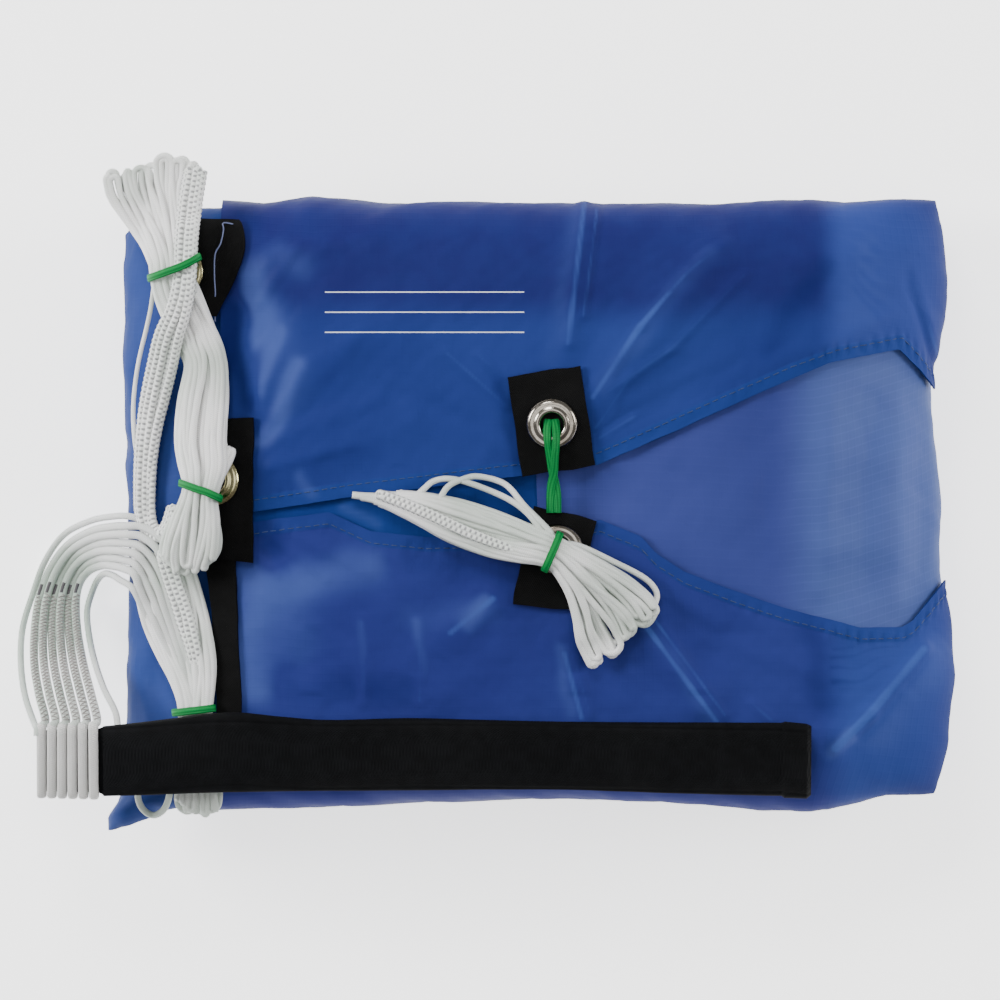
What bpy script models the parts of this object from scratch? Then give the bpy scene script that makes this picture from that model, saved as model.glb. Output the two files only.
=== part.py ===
"""A packed rescue parachute: a cloth container closed by four leaves, lying on its back.

Black tabs with eyelets hold green elastics, and the elastics hold the stowed lines in hanks.
A sleeved riser lies across the lower edge, with the sewn line eyes round its left end.
Sizes are millimetres in the tables and metres in the mesh, +Z up, origin at the middle of the base.
"""

import math

import bmesh
import bpy
import numpy as np
from mathutils import Vector

MM = 0.001

# Container: semi-axes come from the edge tables, heights from these values
RIM_HEIGHT = 28.0
CROWN_RISE = 50.0
BASE_FLATTEN = 1.35
END_POWER = 2.6
SIDE_POWER = 5.0
BODY_LENGTH = 300.0
BODY_WIDTH = 216.0

OVERHANG_SHARE = 0.93
SETTLE_STEPS = 10

# Layers, as depths under the outermost cloth
SHEET = 1.2
LAYER_GAP = 0.8
FLAP_DEPTH = SHEET
LEAF_DEPTH = FLAP_DEPTH + LAYER_GAP + SHEET
BODY_DEPTH = LEAF_DEPTH + LAYER_GAP
CLEAR = 0.4
TAB_CLEAR = 0.9
STEEPEST = 0.8

# Lines and elastics
LINE_WIDTH = 2.4
ELASTIC_WIDTH = 2.8
ELASTIC_THICK = 1.1

# Eyelets
EYELET_RADIUS = 9.0
EYELET_HOLE = 4.2
EYELET_RISE = 1.5
EYELET_SIDES = 18

# Riser
SLEEVE_THICK = 5.4
TONGUE_THICK = 2.6
SLEEVE_LEFT = -154.4
EYE_COUNT = 6
EYE_PITCH = 3.78
EYE_WIDTH = 3.4
EYE_THICK = 2.2

# Grid lines shared by the body and every cloth on it, in degrees from the crown
FLAP_ACROSS = [4, 8, 12, 16, 20, 24, 29, 34, 39, 44, 52, 61, 71, 81]
LEAF_ACROSS = [12, 24, 34, 44, 52, 61, 71, 81, 90, 99, 109]
LEAF_UP = [9, 17, 23, 30, 37, 43, 48, 55, 66]
FLAP_WRAP = [30, 37, 43, 48, 55, 66, 90, 114]

# Outline seen from the front: place along the edge, place of the edge
TOP_EDGE = [(-150, 99), (-146, 104), (-134, 107), (-119, 108.4), (-98, 107.3), (-80, 109.8),
            (-54, 107.3), (-19, 107.6), (31, 106.9), (69, 106.9), (86, 108), (102, 108.4), (116, 107.3),
            (135, 108.7), (150, 108.4)]
BOTTOM_EDGE = [(-150, -121), (-141, -115.5), (-133, -112.5), (-115, -112.3), (-73, -110.9),
               (-30, -109.1), (15, -107.6), (65, -109.8), (87, -112.3), (105, -112.3), (120, -109.8),
               (132, -107.2), (150, -106)]
LEFT_EDGE = [(-108, -154.5), (-98, -150.5), (-80, -149.5), (-40, -148.4), (10, -148.6), (24, -149.6),
             (60, -149.9), (98, -150.1), (108, -149.5)]
RIGHT_EDGE = [(-108, 145.5), (-90, 150.1), (-65, 152.6), (-43, 150.8), (-28, 148.7), (-6, 149),
              (22, 147.2), (35, 145.4), (49, 145.8), (63, 148.3), (80, 150.1), (98, 148.3), (108, 146)]

# Free edges of the two upper cloths
TOP_FLAP_EDGE = [(-113, -4.6), (-104.8, -4.9), (-63.4, 1.4), (-5.8, 8.6), (22.7, 12.6), (50.8, 24.8),
                 (76.7, 36.7), (92.2, 43.6), (105.8, 49.3), (124.9, 53.3), (130.7, 54.4), (138.6, 46.5),
                 (150, 33)]
BOTTOM_FLAP_EDGE = [(-113, -8.2), (-100, -7.9), (-73.4, -4.3), (-58.3, -11.2), (-37.8, -13.3),
                    (-6.8, -12.6), (23.8, -7.2), (38.2, -13), (43.6, -19.1), (53.6, -25.6),
                    (69.5, -31.7), (88.9, -38.5), (104.4, -42.5), (116.3, -45.7), (131.8, -45.7),
                    (135.7, -43.6), (150, -26)]
FLAP_LEFT_ANGLE = -44
FLAP_RIGHT_ANGLE = 81
LEAF_WRAP = 119
LEAF_SEAM = 0.6

# Ridges of one cloth: layer, from x, y to x, y, rise and half width
RIDGES = [
    ("flap", 20.9, 36.7, 67.3, 90.7, 2.8, 8.0),
    ("flap", 18.0, 106.0, 12.2, 56.2, 1.6, 7.0),
    ("flap", 39.6, -44.6, 60.0, -72.0, 2.2, 8.0),
    ("flap", 10.8, -50.0, 16.9, -77.8, 1.6, 7.0),
    ("flap", 105.0, -92.0, 141.0, -56.0, 3.0, 8.0),
    ("flap", -29.9, -47.5, -14.8, -35.3, 1.4, 7.0),
    ("flap", -96.0, 40.0, -52.0, 64.0, 2.2, 10.0),
    ("flap", -92.0, 14.0, -46.0, 28.0, 1.8, 9.0),
    ("flap", -92.0, 84.0, -60.0, 96.0, 1.6, 9.0),
    ("flap", -92.0, -30.0, -58.0, -62.0, 1.6, 10.0),
    ("leaf", 104.0, 16.0, 102.0, -16.0, 1.6, 10.0),
    ("leaf", 126.0, 12.0, 124.0, -14.0, 1.6, 9.0),
]

# Troughs of every cloth: from x, y to x, y, depth and half width
TROUGHS = [
    (-109.0, 66.0, -108.0, 40.0, 3.2, 14.0),
    (-120.0, -34.0, -134.0, -66.0, 3.0, 12.0),
    (2.0, 2.0, 12.0, 1.0, 4.0, 24.0),
    (130.0, 52.0, 140.0, 44.0, 1.2, 14.0),
    (136.0, -40.0, 148.0, -32.0, 1.2, 14.0),
    (36.0, 30.0, 80.0, 62.0, 1.8, 12.0),
    (70.0, -50.0, 96.0, -78.0, 1.8, 12.0),
]
UNDER_SHARE = 0.5

# Black tabs: corners clockwise from the upper left, eyelet's middle, its seat over the tab and its metal
TABS = {
    "upper_middle": ((-9.4, 43.9), (16.6, 48.2), (22.0, 12.6), (-4.3, 8.3),
                     (6.3, 27.1), 0.8, "nickel"),
    "lower_middle": ((-0.4, -2.0), (22.0, -7.5), (15.5, -39.6), (-7.9, -37.2),
                     (8.4, -17.6), 0.6, "nickel"),
    "upper_left": ((-137.0, 102.0), (-104.8, 100.0), (-107.3, 73.0), (-137.0, 70.0),
                   (-127.0, 81.7), 0.4, "brass"),
    "middle_left": ((-124.5, 29.0), (-100.4, 29.5), (-100.8, -22.6), (-124.5, -19.0),
                    (-114.4, 7.2), 0.6, "brass"),
}

# Black strip along the left ends of the flaps: y, left x, right x
EDGE_STRIP = [(-24.2, -117.2, -106.8), (-36, -115.8, -106.4), (-50, -114.4, -105.8),
              (-64, -113.8, -105.0), (-80, -113.4, -104.8), (-97, -113.2, -104.6)]

# Hanks: middle x, y, half width, half thickness and lift over the outermost cloth
UPPER_HANK = [(-137.6, 117.6, 17.6, 2.0, 3.4), (-137.4, 113.0, 17.0, 2.8, 3.4),
              (-136.2, 108.0, 15.0, 3.4, 3.6), (-134.4, 101.6, 12.4, 4.0, 4.2),
              (-132.2, 93.6, 9.6, 4.6, 5.0), (-130.5, 86.0, 8.1, 4.9, 5.6),
              (-130.2, 82.8, 7.9, 5.0, 5.8), (-129.8, 78.6, 8.0, 4.9, 5.6),
              (-128.6, 73.2, 9.6, 4.4, 4.4), (-127.6, 70.4, 9.8, 3.6, 3.4)]
BRAID = [(-130.2, 64.8, 5.6, 3.0, 1.0), (-130.8, 60.0, 5.9, 3.4, 0.2), (-132.4, 51.0, 6.0, 3.5, -1.0),
         (-135.0, 40.0, 5.9, 3.5, -1.7), (-137.9, 26.6, 5.0, 3.4, -1.8), (-139.3, 15.8, 4.4, 3.3, -1.8),
         (-139.9, 4.0, 4.0, 3.2, -1.8), (-139.7, -4.5, 3.8, 3.1, -1.6), (-137.9, -10.4, 3.5, 3.0, -1.2),
         (-134.2, -12.6, 3.3, 3.0, -0.4), (-131.0, -9.6, 3.4, 3.0, 0.2), (-129.3, -5.4, 3.2, 2.8, 0.4),
         (-128.8, -2.6, 2.4, 2.0, 0.6)]
MIDDLE_LEFT_HANK = [(-117.6, 67.6, 3.2, 2.4, 1.0), (-117.4, 61.0, 5.4, 3.4, 1.0),
                    (-117.4, 49.0, 7.8, 4.4, 1.0), (-118.9, 34.2, 9.2, 4.6, 1.6),
                    (-119.6, 21.6, 9.6, 4.6, 3.4), (-118.6, 12.6, 9.2, 4.8, 5.0),
                    (-118.9, 7.0, 7.6, 4.9, 6.4), (-119.3, 3.6, 6.8, 4.9, 6.6),
                    (-119.9, 0.2, 7.0, 4.9, 6.6), (-121.0, -7.2, 9.0, 4.8, 6.4),
                    (-122.6, -15.4, 10.2, 4.4, 7.2), (-123.5, -20.6, 9.9, 3.8, 7.4),
                    (-123.8, -24.0, 8.4, 2.4, 7.6)]
LOWER_HANK = [(-136.6, -18.4, 7.6, 2.2, -1.6), (-135.6, -23.0, 10.2, 2.9, -1.6),
              (-132.8, -31.0, 12.2, 3.2, -1.6), (-129.4, -43.0, 11.6, 3.4, -1.4),
              (-125.4, -55.0, 9.0, 3.4, -0.6), (-123.0, -66.0, 7.2, 3.1, 0.2),
              (-122.2, -74.0, 6.6, 2.8, 0.8), (-121.8, -78.5, 6.5, 2.8, 0.8),
              (-121.4, -92.0, 6.6, 2.8, 0.8), (-120.6, -102.0, 7.4, 2.4, 0.8),
              (-120.2, -110.2, 7.6, 1.8, 0.8)]
MIDDLE_HANK = [(-63.4, 1.6, 1.0, 0.9, 0.4), (-53.6, 0.4, 3.0, 2.0, 0.4), (-41.0, -2.9, 6.0, 3.2, 0.4),
               (-28.4, -7.6, 8.3, 4.1, 0.6), (-15.8, -11.9, 8.6, 4.6, 1.6), (-5.0, -15.0, 7.6, 4.9, 3.6),
               (2.4, -17.0, 6.5, 5.0, 5.2), (6.6, -18.6, 6.2, 5.0, 5.4), (11.0, -21.4, 6.8, 4.9, 5.2),
               (18.6, -28.2, 9.8, 4.3, 4.2), (24.7, -35.4, 13.4, 3.7, 3.2), (29.0, -42.0, 16.2, 3.2, 2.2),
               (31.4, -46.6, 16.6, 2.4, 1.6)]

# Hanks: table, rings along it, points round it, ribs, unevenness of the end loops
HANKS = {
    "upper_hank": (UPPER_HANK, 15, 28, 9, (2.6, 0)),
    "braid": (BRAID, 26, 14, 5, (0, 0)),
    "middle_left_hank": (MIDDLE_LEFT_HANK, 18, 24, 8, (0, 0.6)),
    "lower_hank": (LOWER_HANK, 18, 22, 7, (0, 0.8)),
    "middle_hank": (MIDDLE_HANK, 21, 26, 9, (0, 2.0)),
}
SECTION_POWER = 0.8
RIB_DEPTH = 0.07

# Elastic bands: hank, column and place of the band along it, lean of the band in degrees
BANDS = {
    "elastic_upper": ("upper_hank", 1, 82.6, 10.0),
    "elastic_middle_left": ("middle_left_hank", 1, 3.6, -14.0),
    "elastic_middle": ("middle_hank", 0, 6.6, 4.0),
    "elastic_lower": ("lower_hank", 1, -75.4, 0.0),
}
BAND_SIDES = 24
BAND_CLEAR = 0.5

# Riser: x, upper edge, lower edge, least height of its underside (0: it rests on cloth), thickness, tilt
RISER = [(-177.6, -82.2, -104.4, 58.6, TONGUE_THICK, 8), (-166.0, -82.0, -104.6, 63.0, TONGUE_THICK, 8),
         (-155.6, -81.6, -104.8, 66.6, TONGUE_THICK, 8), (-154.4, -80.6, -105.8, 65.6, SLEEVE_THICK, 8),
         (-142.0, -79.2, -105.4, 69.0, SLEEVE_THICK, 9), (-129.6, -77.6, -104.9, 71.0, SLEEVE_THICK, 10),
         (-118.0, -75.9, -104.5, 71.4, SLEEVE_THICK, 11),
         (-105.8, -75.2, -104.2, 71.0, SLEEVE_THICK, 13), (-90.0, -76.6, -103.9, 71.2, SLEEVE_THICK, 15),
         (-73.4, -77.6, -103.7, 0, SLEEVE_THICK, 17), (-45.0, -76.8, -103.5, 0, SLEEVE_THICK, 18),
         (-20.0, -77.4, -103.2, 0, SLEEVE_THICK, 18), (10.0, -78.1, -103.2, 0, SLEEVE_THICK, 18),
         (40.0, -78.3, -104.2, 0, SLEEVE_THICK, 18), (66.0, -78.4, -105.0, 0, SLEEVE_THICK, 18),
         (88.6, -78.5, -105.6, 0, SLEEVE_THICK, 18), (89.6, -78.0, -106.2, 0, SLEEVE_THICK + 0.8, 18),
         (97.6, -78.8, -106.4, 0, SLEEVE_THICK + 0.8, 18),
         (99.2, -79.8, -105.4, 0, SLEEVE_THICK - 1.0, 18)]
RISER_CLEAR = 0.7
RISER_SECTION = [(1.0, 0.0), (0.55, 0.7), (0.0001, 1.0), (-0.0001, 1.0), (-0.55, 0.7), (-1.0, 0.0),
                 (-0.55, -0.7), (-0.0001, -1.0), (0.0001, -1.0), (0.55, -0.7)]
EYE_SECTION = [(1, 0), (0.6, 0.9), (-0.6, 0.9), (-1, 0), (-0.6, -0.9), (0.6, -0.9)]
EYE_COURSE = [(1.0, 0.3), (0.93, 1.0), (0.0, 1.0), (-0.93, 1.0), (-1.0, 0.3),
              (-1.0, -0.3), (-0.93, -1.0), (0.0, -1.0), (0.93, -1.0), (1.0, -0.3)]

# Closing loop: x, y, half width, half thickness, height over the outermost cloth
CLOSING_LOOP = [(6.2, 26.6, 2.6, 1.2, 2.2), (6.2, 22.6, 2.9, 1.3, 3.4), (6.3, 18.6, 3.0, 1.4, 4.2),
                (6.6, 13.0, 2.9, 1.4, 3.2), (6.9, 7.0, 2.7, 1.4, 2.0), (7.0, 1.0, 2.3, 1.4, 2.2),
                (7.0, -4.6, 2.1, 1.3, 2.2)]

# Free lines from the eyes round to the lower hank: outer and inner routes of the six, then two strays
OUTER_ROUTE = [(-175.4, -78.9, 60.6), (-178.0, -69.5, 52.0), (-180.2, -58.5, 36.0), (-180.6, -46.5, 17.0),
               (-179.2, -35.0, 5.2), (-175.2, -24.4, 3.0), (-168.6, -16.0, 9.0), (-159.8, -11.2, 27.0),
               (-152.2, -9.6, 43.5), (-146.4, -9.4, 52.6)]
INNER_ROUTE = [(-156.6, -78.6, 67.6), (-159.2, -69.2, 58.0), (-162.6, -58.0, 41.0), (-165.2, -46.5, 21.0),
               (-166.0, -37.0, 8.0), (-164.6, -30.0, 4.6), (-161.0, -25.6, 11.0), (-155.8, -23.6, 27.0),
               (-151.4, -23.8, 42.5), (-147.6, -24.6, 50.6)]
OUTER_STRAY = [(-179.4, -80.6, 56.0), (-183.4, -70.0, 43.0), (-185.4, -58.0, 26.0), (-185.2, -46.0, 10.0),
               (-181.7, -33.8, 3.4), (-177.4, -22.2, 2.2), (-170.4, -12.6, 7.6), (-160.4, -7.6, 26.0),
               (-152.2, -6.0, 43.0), (-146.0, -5.8, 52.6)]
INNER_STRAY = [(-150.2, -75.8, 66.0), (-154.6, -67.4, 58.0), (-158.4, -57.6, 42.0), (-161.0, -47.6, 24.0),
               (-161.8, -40.0, 12.0), (-160.4, -34.2, 9.0), (-158.0, -29.0, 15.0), (-155.0, -26.6, 29.6),
               (-151.6, -27.2, 42.0), (-149.2, -28.6, 48.6)]
LINE_POINTS = 19
LINE_STAGGER = 0.8
OPEN_LOOP = [(-128.9, -90.5, 62.2), (-135.5, -94.5, 60.4), (-140.2, -100.0, 56.4),
             (-142.4, -105.8, 52.4), (-141.0, -110.8, 49.2), (-137.2, -113.4, 48.0),
             (-133.4, -111.6, 51.4), (-131.2, -107.0, 56.6), (-130.6, -101.5, 60.6),
             (-131.0, -96.5, 62.4)]
OPEN_LOOP_POINTS = 13

# Finishes: colour, roughness, metallic
FINISHES = {
    "canopy blue": ((0.028, 0.075, 0.36), 0.55, 0),
    "side blue": ((0.10, 0.17, 0.52), 0.55, 0),
    "black webbing": ((0.006, 0.006, 0.007), 0.8, 0),
    "line white": ((0.72, 0.72, 0.69), 0.6, 0),
    "elastic green": ((0.01, 0.32, 0.06), 0.55, 0),
    "nickel": ((0.62, 0.6, 0.56), 0.25, 1),
    "brass": ((0.6, 0.52, 0.33), 0.3, 1),
}


def read(table, place, column=1):
    """The value of a column at a place along the table's first column."""
    rows = sorted(table)
    return float(np.interp(place, [row[0] for row in rows], [row[column] for row in rows]))


def rounded(angle, power):
    """Across and up parts of a rounded square of this power at an angle from its crown."""
    s = math.sin(math.radians(angle))
    c = math.cos(math.radians(angle))
    reach = (abs(s) ** power + abs(c) ** power) ** (-1.0 / power)
    return s * reach, c * reach


def rise_of(share, power):
    """Height share of the rounded square at a share of its half width."""
    return max(0.0, 1.0 - min(1.0, abs(share)) ** power) ** (1.0 / power)


def angle_of(share, power):
    """Angle from the crown at a share of the half width."""
    return math.degrees(math.atan2(share, rise_of(share, power)))


def fold_share(x, y, x0, y0, x1, y1, half):
    """How much of a fold between two places is felt at x, y."""
    dx = x1 - x0
    dy = y1 - y0
    t = min(1.0, max(0.0, ((x - x0) * dx + (y - y0) * dy) / (dx * dx + dy * dy)))
    away = math.hypot(x - x0 - t * dx, y - y0 - t * dy)
    return math.exp(-(away / half) ** 2)


def relief(x, y, depth):
    """Height of the folds at a place; under cloths keep below the ones over them."""
    layers = 0 if depth < LEAF_DEPTH - LAYER_GAP else 1 if depth <= LEAF_DEPTH else 2
    total = 0.0
    for layer, x0, y0, x1, y1, rise, half in RIDGES:
        if layers == 0 or (layers == 1 and layer == "leaf"):
            total += rise * fold_share(x, y, x0, y0, x1, y1, half)
    for x0, y0, x1, y1, drop, half in TROUGHS:
        total -= drop * (1 + UNDER_SHARE * layers) * fold_share(x, y, x0, y0, x1, y1, half)
    return total


def edges(p, q, depth):
    """Left, right, bottom and top edge at shares across and up, drawn in by a depth."""
    left = read(LEFT_EDGE, q * BODY_WIDTH / 2) + depth
    right = read(RIGHT_EDGE, q * BODY_WIDTH / 2) - depth
    bottom = read(BOTTOM_EDGE, p * BODY_LENGTH / 2) + depth
    top = read(TOP_EDGE, p * BODY_LENGTH / 2) - depth
    return left, right, bottom, top


def height(x, y, up, depth):
    """Height of a layer where its rounded shares multiply to up."""
    if up <= 0:
        return max(0.0, RIM_HEIGHT * (1.0 + BASE_FLATTEN * up))
    return RIM_HEIGHT + (CROWN_RISE - depth) * up + relief(x, y, depth) * min(1.0, 2.0 * up)


def layer_point(across, upward, depth):
    """A point of the layer at angles from the crown; past 90 degrees it turns under the rim."""
    p, rise_p = rounded(across, END_POWER)
    q, rise_q = rounded(upward, SIDE_POWER)
    left, right, bottom, top = edges(p, q, depth)
    x = left + (right - left) * (p + 1) / 2
    y = bottom + (top - bottom) * (q + 1) / 2
    return Vector((x, y, height(x, y, rise_p * rise_q, depth)))


def shares(x, y, depth=0.0):
    """Shares across and up of a place seen from the front."""
    p, q = 2 * x / BODY_LENGTH, 2 * y / BODY_WIDTH
    for _ in range(SETTLE_STEPS):
        left, right, bottom, top = edges(max(-1, min(1, p)), max(-1, min(1, q)), depth)
        p = 2 * (x - left) / (right - left) - 1
        q = 2 * (y - bottom) / (top - bottom) - 1
    return p, q


def top_height(x, y, depth=0.0, limit=OVERHANG_SHARE):
    """Height of the layer at a place, level past the limit share so that it can carry overhangs."""
    p, q = shares(x, y, depth)
    p = max(-limit, min(limit, p))
    q = max(-limit, min(limit, q))
    up = rise_of(p, END_POWER) * rise_of(q, SIDE_POWER)
    return height(x, y, up, depth)


def lay(x, y, lift, limit=OVERHANG_SHARE):
    """The point this far over the outermost cloth, straight above its place, and the cloth's normal."""
    step = 1.5
    slope_x = (top_height(x + step, y, limit=limit) - top_height(x - step, y, limit=limit)) / (2 * step)
    slope_y = (top_height(x, y + step, limit=limit) - top_height(x, y - step, limit=limit)) / (2 * step)
    normal = Vector((-slope_x, -slope_y, 1)).normalized()
    return Vector((x, y, top_height(x, y, limit=limit) + lift / max(STEEPEST, normal.z))), normal


def smooth_path(points, count):
    """Points at even steps along the smooth curve through the given ones, with every column."""
    knots = [np.array(point, float) for point in points]
    knots = [2 * knots[0] - knots[1]] + knots + [2 * knots[-1] - knots[-2]]
    fine = []
    for a, b, c, d in zip(knots, knots[1:], knots[2:], knots[3:], strict=False):
        for t in np.linspace(0, 1, 16, endpoint=False):
            fine.append(0.5 * (2 * b + (c - a) * t + (2 * a - 5 * b + 4 * c - d) * t * t
                               + (3 * b - a - 3 * c + d) * t ** 3))
    fine.append(knots[-2])
    fine = np.array(fine)
    walk = np.concatenate(([0], np.cumsum(np.linalg.norm(np.diff(fine[:, :2], axis=0), axis=1))))
    if len(points[0]) == 3:
        walk = np.concatenate(([0], np.cumsum(np.linalg.norm(np.diff(fine, axis=0), axis=1))))
    steps = np.linspace(0, walk[-1], count)
    return [tuple(np.interp(s, walk, fine[:, i]) for i in range(fine.shape[1])) for s in steps]


def finish(name, mesh, finish_name, smooth=35):
    """An object of the mesh in the object's collection, with its material and smooth shading."""
    obj = bpy.data.objects.new(name, mesh)
    collection.objects.link(obj)
    mesh.materials.append(materials[finish_name])
    mesh.shade_smooth()
    mesh.set_sharp_from_angle(angle=math.radians(smooth))
    return obj


def loft(name, rings, finish_name, looped=False, smooth=35):
    """A closed body through rings of points in millimetres: looped round, or capped at both ends."""
    mesh_of = bmesh.new()
    rows = [[mesh_of.verts.new(Vector(point) * MM) for point in ring] for ring in rings]
    pairs = list(zip(rows, rows[1:], strict=False))
    if looped:
        pairs.append((rows[-1], rows[0]))
    for low, high in pairs:
        for i in range(len(low)):
            j = (i + 1) % len(low)
            mesh_of.faces.new((low[i], low[j], high[j], high[i]))
    if not looped:
        for row in (rows[0], rows[-1]):
            middle = mesh_of.verts.new(sum((v.co for v in row), Vector()) / len(row))
            for i in range(len(row)):
                mesh_of.faces.new((row[i], row[(i + 1) % len(row)], middle))
    bmesh.ops.recalc_face_normals(mesh_of, faces=mesh_of.faces)
    mesh = bpy.data.meshes.new(name)
    mesh_of.to_mesh(mesh)
    mesh_of.free()
    return finish(name, mesh, finish_name, smooth)


def sheet(name, rows, finish_name, thick=SHEET):
    """A cloth of this thickness outside the given rows of points."""
    bm = bmesh.new()
    bmesh.ops.create_grid(bm, x_segments=len(rows[0]) - 1, y_segments=len(rows) - 1, size=1)
    bm.verts.ensure_lookup_table()
    points = [point for row in rows for point in row]
    for vert, point in zip(bm.verts, points, strict=True):
        vert.co = point * MM
    bmesh.ops.recalc_face_normals(bm, faces=bm.faces)
    bm.normal_update()
    if sum(face.normal.z for face in bm.faces) < 0:
        bmesh.ops.reverse_faces(bm, faces=bm.faces)
    mesh = bpy.data.meshes.new(name)
    bm.to_mesh(mesh)
    bm.free()
    obj = finish(name, mesh, finish_name)
    wall = obj.modifiers.new("cloth", "SOLIDIFY")
    wall.thickness = thick * MM
    wall.offset = 1
    return obj


def lines_between(first, last, half):
    """The shared grid angles from first to last, with those two at the ends."""
    every = sorted([-a for a in half] + [0] + half)
    return [first] + [a for a in every if first < a < last] + [last]


def build_body():
    """Back panel and filled body under the leaves, flat where it rests."""
    across = lines_between(-90, 90, LEAF_ACROSS)
    up = lines_between(-90, 90, LEAF_UP)
    bm = bmesh.new()
    for under in (False, True):
        grid = {}
        for i, a in enumerate(across):
            for j, b in enumerate(up):
                p, rise_p = rounded(a, END_POWER)
                q, rise_q = rounded(b, SIDE_POWER)
                left, right, bottom, top = edges(p, q, BODY_DEPTH)
                x = left + (right - left) * (p + 1) / 2
                y = bottom + (top - bottom) * (q + 1) / 2
                up_share = rise_p * rise_q
                on_rim = i in (0, len(across) - 1) or j in (0, len(up) - 1)
                z = height(x, y, 0.0 if on_rim else (-up_share if under else up_share), BODY_DEPTH)
                grid[i, j] = bm.verts.new(Vector((x, y, z)) * MM)
        for i in range(len(across) - 1):
            for j in range(len(up) - 1):
                bm.faces.new((grid[i, j], grid[i + 1, j], grid[i + 1, j + 1], grid[i, j + 1]))
    bmesh.ops.remove_doubles(bm, verts=bm.verts, dist=0.00001)
    flat = [e for e in bm.edges if all(v.co.z < 1e-6 for v in e.verts)
            and all(abs(v.co.z) < 1e-6 for f in e.link_faces for v in f.verts)]
    bmesh.ops.dissolve_edges(bm, edges=flat, use_verts=True)
    bmesh.ops.triangulate(bm, faces=bm.faces)
    bmesh.ops.recalc_face_normals(bm, faces=bm.faces)
    mesh = bpy.data.meshes.new("pack_body")
    bm.to_mesh(mesh)
    bm.free()
    finish("pack_body", mesh, "canopy blue")


def build_leaves():
    """Left and right leaves, the lower cloths, meeting under the middle tabs."""
    up = lines_between(-66, 66, LEAF_UP)
    for name, first, last in (("left_leaf", -LEAF_WRAP, 0), ("right_leaf", LEAF_SEAM, LEAF_WRAP)):
        across = lines_between(first, last, LEAF_ACROSS)
        rows = [[layer_point(a, b, LEAF_DEPTH) for a in across] for b in up]
        sheet(name, rows, "side blue")


def edge_angle(across, table, depth):
    """Upward angle of a flap's free edge at an angle across."""
    p, _ = rounded(across, END_POWER)
    q = 0.0
    for _ in range(SETTLE_STEPS):
        left, right, bottom, top = edges(p, q, depth)
        x = left + (right - left) * (p + 1) / 2
        q = 2 * (read(table, x) - bottom) / (top - bottom) - 1
    return angle_of(q, SIDE_POWER)


def build_flaps():
    """Top and bottom flaps, the upper cloths, each from its free edge round the rim."""
    across = lines_between(FLAP_LEFT_ANGLE, FLAP_RIGHT_ANGLE, FLAP_ACROSS)
    for name, table, sign in (("top_flap", TOP_FLAP_EDGE, 1), ("bottom_flap", BOTTOM_FLAP_EDGE, -1)):
        columns = []
        for a in across:
            start = edge_angle(a, table, FLAP_DEPTH)
            flat = list(np.linspace(start, sign * FLAP_WRAP[0], 6))[:-1]
            wrap = [sign * b for b in FLAP_WRAP]
            columns.append([layer_point(a, b, FLAP_DEPTH) for b in flat + wrap])
        rows = [list(row) for row in zip(*columns, strict=True)]
        sheet(name, rows, "canopy blue")


def patch(name, corners, finish_name, lift, across=5, down=5, thick=SHEET):
    """A four-cornered cloth lying at a lift over the outermost cloth."""
    a, b, c, d = (Vector(corner) for corner in corners)
    rows = []
    for j in range(down + 1):
        row = []
        for i in range(across + 1):
            s, t = i / across, j / down
            place = a.lerp(b, s).lerp(d.lerp(c, s), t)
            row.append(lay(place.x, place.y, lift)[0])
        rows.append(row)
    sheet(name, rows, finish_name, thick)


def build_tabs():
    """Black tabs, each with a metal eyelet on it."""
    for name, (a, b, c, d, middle, seat, metal) in TABS.items():
        patch(f"tab_{name}", (a, b, c, d), "black webbing", TAB_CLEAR)
        build_eyelet(f"eyelet_{name}", middle, seat, metal)


def build_eyelet(name, middle, seat, metal):
    """A turned metal ring on its tab."""
    base, normal = lay(middle[0], middle[1], TAB_CLEAR + SHEET + seat)
    side = normal.cross(Vector((0, 1, 0))).normalized()
    other = normal.cross(side)
    profile = [(EYELET_HOLE, 0.1), (EYELET_HOLE, 1.0), (EYELET_HOLE + 1.4, EYELET_RISE),
               (EYELET_RADIUS - 2.0, EYELET_RISE * 0.9), (EYELET_RADIUS, 0.3), (EYELET_RADIUS - 0.2, 0.1)]
    rings = []
    for i in range(EYELET_SIDES):
        turn = 2 * math.pi * i / EYELET_SIDES
        out = side * math.cos(turn) + other * math.sin(turn)
        rings.append([base + out * r + normal * h for r, h in profile])
    loft(name, rings, metal, looped=True)


def build_strip():
    """Black strip over the left end of the bottom flap."""
    rows = []
    for y, left, right in EDGE_STRIP:
        rows.append([lay(x, y, TAB_CLEAR)[0] for x in np.linspace(left, right, 4)])
    sheet("edge_strip", rows, "black webbing")


def hank_course(table):
    """Fine stations along a hank with the distance walked to each."""
    fine = np.array(smooth_path(table, 160))
    walk = np.concatenate(([0], np.cumsum(np.linalg.norm(np.diff(fine[:, :2], axis=0), axis=1))))
    return fine, walk


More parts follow.
